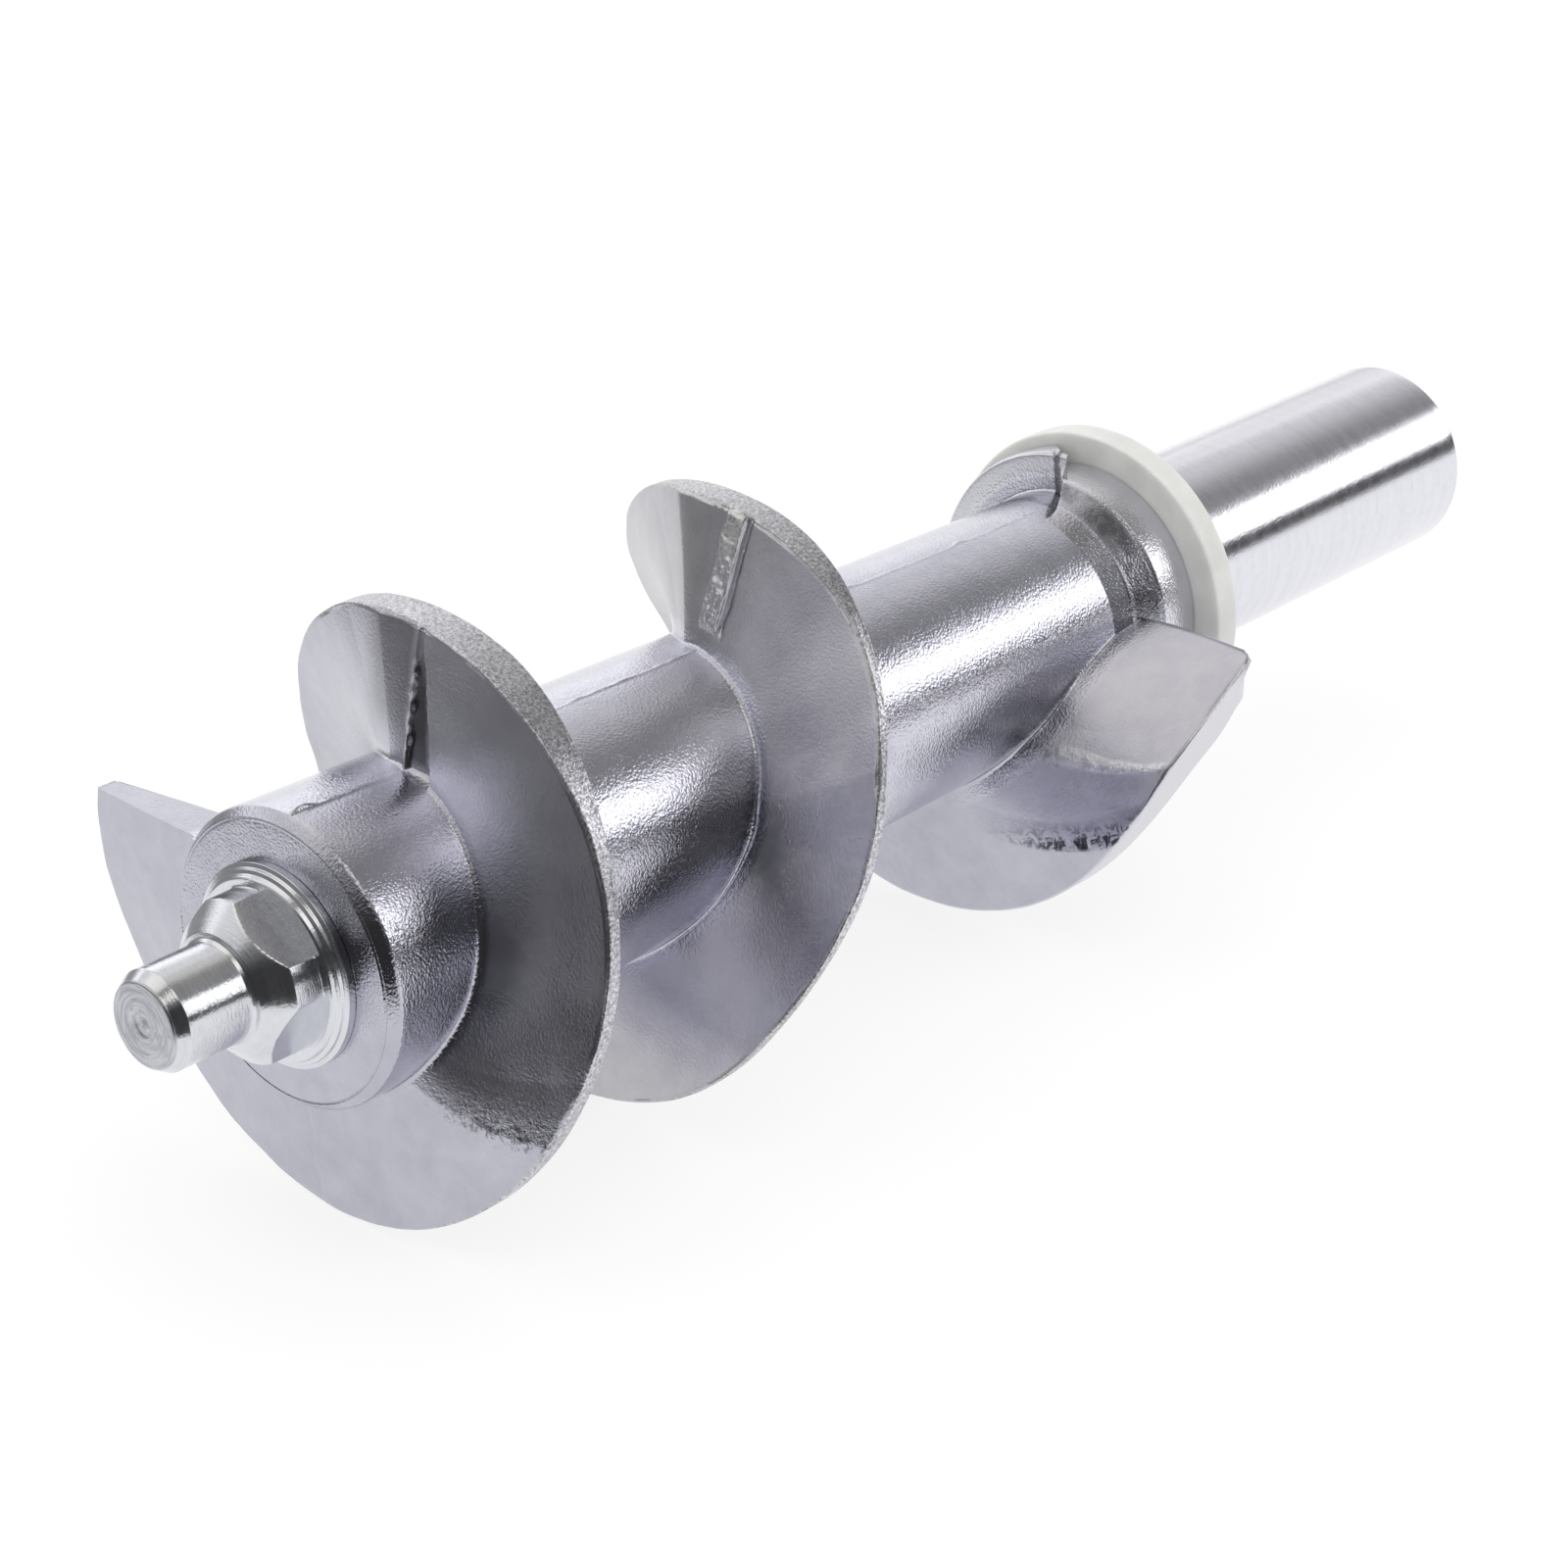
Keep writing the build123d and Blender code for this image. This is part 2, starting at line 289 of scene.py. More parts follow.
# ------------------------------------------------------------------------------ the flight
FLIGHT = np.array([
    (-0.12, 0.010, 0.116, 0.031, 0.209),
    (-0.10, 0.024, 0.123, 0.037, 0.217),
    (-0.05, 0.064, 0.140, 0.047, 0.237),
    (0.00, 0.105, 0.158, 0.057, 0.257),
    (0.05, 0.160, 0.205, 0.077, 0.287),
    (0.10, 0.187, 0.233, 0.107, 0.317),
    (0.15, 0.192, 0.242, 0.122, 0.337),
    (0.20, 0.190, 0.246, 0.132, 0.347),
    (0.25, 0.184, 0.251, 0.145, 0.352),
    (0.30, 0.187, 0.257, 0.162, 0.362),
    (0.35, 0.216, 0.285, 0.182, 0.382),
    (0.40, 0.277, 0.345, 0.222, 0.422),
    (0.45, 0.351, 0.415, 0.302, 0.507),
    (0.50, 0.442, 0.499, 0.362, 0.577),
    (0.55, 0.507, 0.565, 0.402, 0.622),
    (0.60, 0.544, 0.625, 0.442, 0.667),
    (0.65, 0.557, 0.687, 0.482, 0.712),
    (0.70, 0.569, 0.726, 0.512, 0.747),
    (0.75, 0.596, 0.738, 0.537, 0.787),
    (0.80, 0.669, 0.778, 0.597, 0.852),
    (0.85, 0.753, 0.828, 0.697, 0.927),
    (0.90, 0.845, 0.910, 0.817, 1.037),
    (0.95, 0.959, 1.021, 0.937, 1.157),
    (1.00, 1.067, 1.127, 1.047, 1.267),
    (1.05, 1.143, 1.205, 1.127, 1.352),
    (1.10, 1.200, 1.258, 1.187, 1.417),
    (1.15, 1.243, 1.296, 1.227, 1.457),
    (1.20, 1.270, 1.319, 1.257, 1.482),
    (1.25, 1.288, 1.334, 1.285, 1.502),
    (1.30, 1.302, 1.346, 1.337, 1.537),
    (1.35, 1.316, 1.364, 1.422, 1.607),
    (1.40, 1.357, 1.402, 1.537, 1.717),
    (1.45, 1.502, 1.546, 1.617, 1.807),
    (1.50, 1.679, 1.738, 1.695, 1.897),
    (1.55, 1.821, 1.865, 1.759, 1.977),
    (1.60, 1.945, 1.991, 1.815, 2.047),
    (1.65, 2.018, 2.088, 1.862, 2.107),
    (1.70, 2.030, 2.146, 1.899, 2.157),
    (1.75, 2.045, 2.169, 1.932, 2.207),
    (1.80, 2.156, 2.220, 2.017, 2.287),
    (1.85, 2.292, 2.359, 2.157, 2.417),
    (1.90, 2.458, 2.524, 2.337, 2.587),
    (1.95, 2.654, 2.715, 2.547, 2.787),
    (2.00, 2.871, 2.928, 2.767, 3.007),
    (2.05, 3.043, 3.108, 2.917, 3.167),
    (2.10, 3.155, 3.219, 3.017, 3.277),
    (2.15, 3.224, 3.289, 3.077, 3.347),
    (2.20, 3.260, 3.330, 3.107, 3.387),
    (2.25, 3.268, 3.343, 3.127, 3.412),
    (2.30, 3.278, 3.364, 3.157, 3.447),
    (2.35, 3.285, 3.393, 3.207, 3.497),
    (2.40, 3.308, 3.462, 3.302, 3.577),
    (2.45, 3.416, 3.619, 3.447, 3.737),
    (2.48, 3.583, 3.856, 3.537, 3.917),
    (2.50, 3.780, 4.073, 3.647, 4.077),
    (2.52, 3.997, 4.270, 3.807, 4.257),
    (2.54, 4.214, 4.477, 3.997, 4.447),
    (2.58, 4.650, 4.900, 4.380, 4.850),
])
T_MIN, T_MAX = -0.1125, 2.545
_fine = np.linspace(-0.12, 2.58, 5401)
_cols = []
for c in range(1, 5):
    v = pchip(FLIGHT[:, 0], FLIGHT[:, c], _fine) * R_FLIGHT
    k = np.exp(-0.5 * (np.arange(-60, 61) * 0.0005 / 0.008) ** 2)
    pad = np.concatenate([np.full(60, 2 * v[0]) - v[60:0:-1], v, np.full(60, 2 * v[-1]) - v[-2:-62:-1]])
    _cols.append(np.convolve(pad, k / k.sum(), "valid"))
R_TABLE = 0.49 * R_FLIGHT
FLIGHT_END = 91.1
START_Z = 6.8


def column(c, t):
    return np.interp(t, _fine, _cols[c])


def front(t, r):
    a, b = column(0, t), column(2, t)
    return b + (a - b) * (r - R_TABLE) / (R_FLIGHT - R_TABLE)


def rear(t, r):
    a, b = column(1, t), column(3, t)
    return b + (a - b) * (r - R_TABLE) / (R_FLIGHT - R_TABLE)


HUB_FRONT_R, HUB_REAR_R, HUB_EDGE, NECK = 11.9, 10.5, 0.8, 88.0


def hub_radius(s):
    s = np.asarray(s, float)
    r = HUB_FRONT_R + (HUB_REAR_R - HUB_FRONT_R) * (s - HUB_EDGE) / (NECK - HUB_EDGE)
    r = np.where(s < HUB_EDGE, HUB_FRONT_R, r)
    r = np.where(s > NECK, HUB_REAR_R + (s - NECK) * 0.7 / 2.1, r)
    r = np.where(s > 90.1, 11.2 + (s - 90.1) * 0.9 / 3.1, r)
    return r


def t_start(r):
    return -np.arcsin(START_Z / r) / TURN


_rr = np.linspace(8, 23, 31)
_te = []
for r in _rr:
    q = np.linspace(2.45, 2.56, 600)
    drop = 1.0 - math.sqrt(max(0.0, 1 - max(0.0, r - 22.0) ** 2))
    _te.append(np.interp(FLIGHT_END - 0.18 - 0.9 * drop, front(q, r), q))


def t_end(r):
    return np.interp(r, _rr, _te)


def face_detail(t, r):
    """How far the front face stands proud of its plain surface, in mm."""
    s = (r - 11.5) / 11.5
    arc = TURN * r  # mm per turn
    d = np.zeros_like(t)
    # flash of the parting plane on the first turn: a thin ragged ridge, beside a narrow facet
    # that falls away from it and ends in a small step
    p = np.stack([t * 60, r, np.zeros_like(t)], -1).reshape(-1, 3)
    p2 = np.stack([t * 130, r, np.zeros_like(t)], -1).reshape(-1, 3)
    rag = noise(p, 1.3, 5).reshape(t.shape)
    fine = fractal(p2, 1.0, 2, 6).reshape(t.shape)
    pits = fractal(p2, 0.85, 2, 11).reshape(t.shape)
    x = (t - SEAM_TOP) * arc + 0.22 * rag
    d += 0.24 * np.exp(-((x / 0.26) ** 2)) * (1 + 0.9 * rag)
    wide = 0.55 + 2.3 * np.clip(1 - s, 0, 1) ** 1.3
    d -= 0.27 * wide * np.where(x < 0, np.clip(-x / wide, 0, 1), 0) * (1 - smooth(-x, wide, wide + 0.16))
    # wide trimmed flash on the second turn
    x = (t - 1.730) * arc + 0.16 * rag
    flash_side_painted_shade = smooth(x, -1.15, -0.92) * (1 - smooth(x, 0.75, 1.1)) * smooth(s, 0.13, 0.2)
    rough = 1 - 0.85 * smooth(s, 0.62, 0.85)
    d += flash_side_painted_shade * (0.28 + 0.17 * pits * rough)
    d -= 0.16 * np.exp(-(((x + 1.45) / 0.24) ** 2)) * smooth(s, 0.13, 0.2) * (1 + 0.5 * fine)
    # bottom seams
    for seam in (SEAM_BOTTOM, SEAM_BOTTOM + 1, SEAM_BOTTOM + 2):
        x = (t - seam + 0.014 * (1 - s)) * arc + 0.3 * rag
        d -= 0.07 * np.exp(-((x / 0.22) ** 2))
    # creases where one die facet meets the next: (turn at the root, at the rim, width, height)
    for k_root, k_rim, w, high in (
        (0.370, 0.4225, 0.040, 0.32),
        (2.287, 2.415, 0.035, 0.28),
        (2.422, 2.467, 0.025, 0.30),
        (1.500, 1.510, 0.030, -0.16),
        (1.535, 1.555, 0.030, 0.16),
    ):
        x = t - (k_root + (k_rim - k_root) * s)
        d += high * np.maximum(1 - np.abs(x) / w, 0) * (0.45 + 0.55 * s)
    # narrow facet beside the parting line, which turns away sharply at its far edge
    for start, root, rim, high in ((SEAM_TOP, 0.0275, 0.036, 0.34), (1.742, 0.022, 0.040, 0.50)):
        w = root + (rim - root) * s
        x = t - start
        d += high * (0.35 + 0.65 * s) * np.where(x < w, np.clip(x / w, 0, 1), np.clip(1 - (x - w) / (1.1 * w), 0, 1))
    # rough skin along the kink of the first turn and above the crease of the last one
    x = (t - (0.370 + 0.0525 * s)) * arc
    d += 0.035 * np.exp(-((x / 0.9) ** 2)) * fine * smooth(s, 0.1, 0.5)
    d += 0.05 * np.exp(-((x / 0.35) ** 2)) * (1 + fine) * smooth(s, 0.35, 0.75)
    x = (t - (2.287 + 0.128 * s)) * arc
    d += 0.10 * np.exp(-(((x - 0.9) / 1.0) ** 2)) * pits * smooth(s, 0.3, 0.7)
    x = (t - (2.422 + 0.045 * s)) * arc
    d += 0.05 * np.exp(-((x / 0.55) ** 2)) * smooth(s, 0.08, 0.2) * (1 + 1.2 * fine)
    return d


def flight_mesh():
    nt = 1500
    base = np.linspace(T_MIN, T_MAX, nt)
    near_seams = np.concatenate(
        [np.linspace(a, b, m) for a, b, m in ((0.705, 0.745, 80), (1.712, 1.745, 80), (2.29, 2.47, 140))]
    )
    base = np.unique(np.concatenate([base, near_seams]))
    nt = len(base)

    def remap(r):
        """turn of each ring at radius r (array), with both ends following their cuts"""
        t = base[:, None] + np.zeros_like(r)
        a, b = 0.12, 2.40
        ts, te = t_start(r), t_end(r)
        t = np.where(t < a, ts + (t - T_MIN) * (a - ts) / (a - T_MIN), t)
        return np.where(base[:, None] > b, b + (base[:, None] - b) * (te - b) / (T_MAX - b), t)

    cols = []  # each is (x, r, t) arrays of length nt

    def add(x, r, t):
        cols.append(np.stack([x, r * np.cos(-TURN * t), r * np.sin(-TURN * t)], -1))

    one = np.ones(nt)
    fillet_f, fillet_r = 0.42, 1.7
    # front root
    r0 = 10.9 * one
    for _ in range(3):
        t = remap(r0[:, None])[:, 0]
        r0 = hub_radius(np.clip(front(t, r0) - fillet_f, 0, 95)) - 0.004
    t = remap(r0[:, None] - 1.2)[:, 0]
    add(front(t, r0) - fillet_f, r0 - 1.2, t)
    for k in range(0, 8):
        a = math.radians(90 * k / 7)
        r = r0 + fillet_f * (1 - math.cos(a))
        t = remap(r[:, None])[:, 0]
        add(front(t, r) - fillet_f * (1 - math.sin(a)) - face_detail(t, r) * (k / 7.0), r, t)
    # front face
    corner = 0.24
    r_lo, r_hi = r0 + fillet_f, (R_FLIGHT - corner) * one
    for k in range(1, 80):
        r = r_lo + (r_hi - r_lo) * k / 80
        t = remap(r[:, None])[:, 0]
        add(front(t, r) - face_detail(t, r), r, t)
    # rim
    tr = remap(R_FLIGHT * one[:, None])[:, 0]
    pr = np.stack([tr * 140, np.zeros(nt), np.zeros(nt)], -1)
    xf, xr = front(tr, R_FLIGHT * one), np.minimum(rear(tr, R_FLIGHT * one), FLIGHT_END)
    width = xr - xf
    ragged = 0.07 * fractal(pr, 2.2, 3, 31)
    cf = np.clip(corner * (1 + 0.35 * noise(pr, 3.1, 41)), 0.1, 0.4)
    cf = np.minimum(cf, width * 0.4)
    det = face_detail(tr, (R_FLIGHT - 0.3) * one)
    cr = cf + (2.1 - cf) * smooth(rear(tr, R_FLIGHT * one), FLIGHT_END - 5.0, FLIGHT_END + 0.5)
    cr = np.minimum(cr, width * 0.6)
    for k in range(0, 5):
        a = math.radians(90 * k / 4)
        add(xf - det * (1 - k / 4) + cf * (1 - math.cos(a)) + ragged, R_FLIGHT - cf * (1 - math.sin(a)), tr)
    for k in range(1, 9):
        f = k / 9
        x = xf + cf + (width - cf - cr) * f
        pn = np.stack([x * 1.0, tr * 140, one * 3], -1)
        dent = 0.035 + 0.035 * fractal(pn, 1.4, 2, 51)
        add(x + ragged * (1 - f), R_FLIGHT - dent * math.sin(math.pi * f) ** 0.5, tr)
    for k in range(0, 8):
        a = math.radians(90 * k / 7)
        add(xr - cr * (1 - math.sin(a)), R_FLIGHT - cr * (1 - math.cos(a)), tr)
    # rear face
    r1 = 10.9 * one
    for _ in range(3):
        t = remap(r1[:, None])[:, 0]
        r1 = hub_radius(np.clip(np.minimum(rear(t, r1) + fillet_r, FLIGHT_END), 0, 92)) - 0.004
    fr = np.minimum(fillet_r, np.maximum(FLIGHT_END - rear(remap(r1[:, None] + 1.0)[:, 0], r1 + 1.0), 0.02))
    for k in range(29, 0, -1):
        r = (r1 + fr) + (R_FLIGHT - cr - 0.05 - r1 - fr) * k / 30
        t = remap(r[:, None])[:, 0]
        x = rear(t, r)
        x = np.where(x > FLIGHT_END - 0.0, FLIGHT_END, x)
        add(x, r, t)
    for k in range(7, -1, -1):
        a = math.radians(90 * k / 7)
        r = r1 + fr * (1 - math.cos(a))
        t = remap(r[:, None])[:, 0]
        add(np.minimum(rear(t, r) + fr * (1 - math.sin(a)), FLIGHT_END), r, t)
    t = remap(r1[:, None] - 1.2)[:, 0]
    add(np.minimum(rear(t, r1) + fr, FLIGHT_END), r1 - 1.2, t)
    P = np.stack(cols, 1)  # nt, nk, 3
    nk = P.shape[1]
    faces = grid_faces(nt, nk, wrap_v=True).tolist()
    faces.append(list(range(nk)))
    faces.append(list(range((nt - 1) * nk, nt * nk))[::-1])
    return outward(new_mesh("flight", P.reshape(-1, 3), faces))


# ------------------------------------------------------------------------------ hub and flange
def top_seam(s):
    """Turn at which the die's halves meet on top; on the flange the line leans over."""
    return np.interp(s, (85.0, 88.0, 90.1, 93.2, 94.1, 97.2), (SEAM_TOP, 0.712, 0.722, 0.748, 0.764, 0.790))


def seam_weight(a, s):
    """1 on the far (+Y) half of the parting plane, 0 on the near half."""
    turn = (-a / TURN) % 1.0
    w = 1.0 / 900
    top = top_seam(s)
    far = np.where((turn > 0.5), smooth(turn, top - w, top + w), 1 - smooth(turn, SEAM_BOTTOM - w, SEAM_BOTTOM + w))
    return far


def hub_mesh():
    ds = 0.35
    def taper(x):
        return HUB_FRONT_R + (HUB_REAR_R - HUB_FRONT_R) * (x - HUB_EDGE) / (NECK - HUB_EDGE)

    front_end = [(0, 0), (0, 10.95), (0.15, 11.07), (0.03, 11.2), (0.8, 11.9)]
    near = rounded(
        front_end + [(NECK, HUB_REAR_R), (89.95, 11.13), (90.12, 11.29), (90.35, 11.2), (93.1, 11.9), (93.35, 12.12), (S_REAR, 12.4), (S_REAR, 0)],
        [0, 0.04, 0.04, 0.15, 0.6, 0.5, 0.05, 0.05, 0.05, 0.05, 0.12, 0.2, 0],
        5,
    )
    far = rounded(
        front_end + [(NECK, taper(NECK)), (89.95, taper(89.95)), (90.12, taper(90.12)), (90.35, taper(90.35)), (93.95, taper(93.95)), (94.1, 13.98), (S_REAR, 14.0), (S_REAR, 0)],
        [0, 0.04, 0.04, 0.15, 0.6, 0.5, 0.05, 0.05, 0.05, 0.35, 0.35, 0.3, 0],
        5,
    )

    # both halves get the same number of points on each run
    def resample(p, q):
        a, b = [p[0]], [q[0]]
        for i in range(len(p) - 1):
            n = max(1, int(np.ceil(max(np.linalg.norm(p[i + 1] - p[i]), np.linalg.norm(q[i + 1] - q[i])) / ds)))
            for k in range(1, n + 1):
                a.append(p[i] + (p[i + 1] - p[i]) * k / n)
                b.append(q[i] + (q[i + 1] - q[i]) * k / n)
        return np.array(a), np.array(b)

    near, far = resample(near, far)
    th = np.linspace(0, TURN, 320, endpoint=False)
    extra = []
    for seam in (SEAM_TOP, SEAM_BOTTOM):
        c = -TURN * seam
        extra.append(c + np.radians(np.linspace(-3.5, 3.5, 41)))
    extra.append(-TURN * np.linspace(0.700, 0.796, 140))
    th = np.unique(np.round(np.mod(np.concatenate([th] + extra), TURN), 6))
    th = th[np.concatenate([[True], np.diff(th) > 5e-4])]
    inner_n, inner_f = near[1:-1], far[1:-1]
    idx = np.arange(len(inner_n))

    def shape(s, r, a):
        w = seam_weight(a, inner_n[idx, 0])
        s2 = inner_n[idx, 0] * (1 - w) + inner_f[idx, 0] * w
        r2 = inner_n[idx, 1] * (1 - w) + inner_f[idx, 1] * w
        # parting flash along the top of the hub, heaviest at the front, and faint below
        p = np.stack([s2 * 1.0, a * 14, np.zeros_like(a)], -1).reshape(-1, 3)
        rag = fractal(p, 1.9, 3, 61).reshape(a.shape)
        for seam, h0 in ((SEAM_TOP, 1.0), (SEAM_BOTTOM, 0.5)):
            da = np.angle(np.exp(1j * (a + TURN * seam)))
            x = da * r2 + 0.28 * rag
            size = 0.05 + 0.15 * np.exp(-((s2 / 14.0) ** 2)) + 0.10 * np.exp(-(((s2 - 38) / 8.0) ** 2))
            ridge = h0 * size * np.exp(-((x / 0.20) ** 2)) * (1 + 1.3 * rag)
            ridge = ridge + h0 * size * 0.8 * np.exp(-((x / 0.9) ** 2)) * np.maximum(rag - 0.1, 0)
            on = smooth(s2, 0.6, 1.6) * (1 - smooth(s2, 86, 90)) * (r2 > 9.5)
            r2 = r2 + ridge * on
        # a narrow gap where the flange's halves meet on top
        gap = np.angle(np.exp(1j * (a + TURN * top_seam(s2)))) * r2
        r2 = r2 - 0.38 * np.exp(-(((gap + 0.10) / 0.22) ** 2)) * smooth(s2, 88.3, 90.0) * (1 - smooth(s2, 94.6, 95.2)) * (r2 > 9.5)
        return s2, r2

    return revolved("hub", near, radius=shape, angles=th)


# ------------------------------------------------------------------------------ materials
def tree(name):
    m = bpy.data.materials.new(name)
    m.use_nodes = True
    nt = m.node_tree
    nt.nodes.clear()
    out = nt.nodes.new("ShaderNodeOutputMaterial")
    bsdf = nt.nodes.new("ShaderNodeBsdfPrincipled")
    nt.links.new(bsdf.outputs[0], out.inputs[0])
    return m, nt, bsdf


class Nodes:
    """Short names for the nodes used below."""

    def __init__(self, nt):
        self.nt = nt

    def link(self, value, socket):
        if isinstance(value, bpy.types.NodeSocket):
            self.nt.links.new(value, socket)
        else:
            socket.default_value = value

    def math(self, op, a, b=0.0, c=None, clamp=False):
        n = self.nt.nodes.new("ShaderNodeMath")
        n.operation = op
        n.use_clamp = clamp
        self.link(a, n.inputs[0])
        self.link(b, n.inputs[1])
        if c is not None:
            self.link(c, n.inputs[2])
        return n.outputs[0]

    def range(self, v, a, b, lo=0.0, hi=1.0, kind="SMOOTHSTEP"):
        n = self.nt.nodes.new("ShaderNodeMapRange")
        n.interpolation_type = kind
        self.link(v, n.inputs[0])
        for i, x in zip((1, 2, 3, 4), (a, b, lo, hi)):
            self.link(x, n.inputs[i])
        return n.outputs[0]

    def noise(self, vec, scale, detail=3.0, rough=0.5, distortion=0.0):
        n = self.nt.nodes.new("ShaderNodeTexNoise")
        self.link(vec, n.inputs["Vector"])
        n.inputs["Scale"].default_value = scale
        n.inputs["Detail"].default_value = detail
        n.inputs["Roughness"].default_value = rough
        n.inputs["Distortion"].default_value = distortion
        return n.outputs["Fac"]

    def voronoi(self, vec, scale, feature="F1"):
        n = self.nt.nodes.new("ShaderNodeTexVoronoi")
        n.feature = feature
        self.link(vec, n.inputs["Vector"])
        n.inputs["Scale"].default_value = scale
        return n.outputs["Distance"]

    def mix(self, f, a, b):
        n = self.nt.nodes.new("ShaderNodeMix")
        n.data_type = "RGBA"
        self.link(f, n.inputs[0])
        self.link(a, n.inputs[6])
        self.link(b, n.inputs[7])
        return n.outputs[2]

    def tinted(self, colour, factor):
        node = self.nt.nodes.new("ShaderNodeVectorMath")
        node.operation = "MULTIPLY"
        self.nt.links.new(colour, node.inputs[0])
        node.inputs[1].default_value = factor
        return node.outputs[0]

    def ramp(self, v, stops):
        n = self.nt.nodes.new("ShaderNodeValToRGB")
        self.link(v, n.inputs[0])
        e = n.color_ramp.elements
        while len(e) < len(stops):
            e.new(0.5)
        for el, (pos, col) in zip(e, stops):
            el.position = pos
            el.color = (*col, 1) if len(col) == 3 else col
        return n.outputs[0]

    def bump(self, height, strength, distance, normal=None):
        n = self.nt.nodes.new("ShaderNodeBump")
        n.inputs["Strength"].default_value = strength
        n.inputs["Distance"].default_value = distance
        self.link(height, n.inputs["Height"])
        if normal is not None:
            self.link(normal, n.inputs["Normal"])
        return n.outputs[0]

    def coords(self):
        """Object position in mm as a vector, its x, its distance from the axis and its angle."""
        tc = self.nt.nodes.new("ShaderNodeTexCoord")
        sc = self.nt.nodes.new("ShaderNodeVectorMath")
        sc.operation = "SCALE"
        self.nt.links.new(tc.outputs["Object"], sc.inputs[0])
        sc.inputs["Scale"].default_value = 1000.0
        sep = self.nt.nodes.new("ShaderNodeSeparateXYZ")
        self.nt.links.new(sc.outputs[0], sep.inputs[0])
        x, y, z = sep.outputs
        r = self.math("SQRT", self.math("ADD", self.math("MULTIPLY", y, y), self.math("MULTIPLY", z, z)))
        ang = self.math("ARCTAN2", z, y)
        return sc.outputs[0], x, r, ang

    def vec(self, x, y, z):
        n = self.nt.nodes.new("ShaderNodeCombineXYZ")
        for v, s in zip((x, y, z), n.inputs):
            self.link(v, s)
        return n.outputs[0]


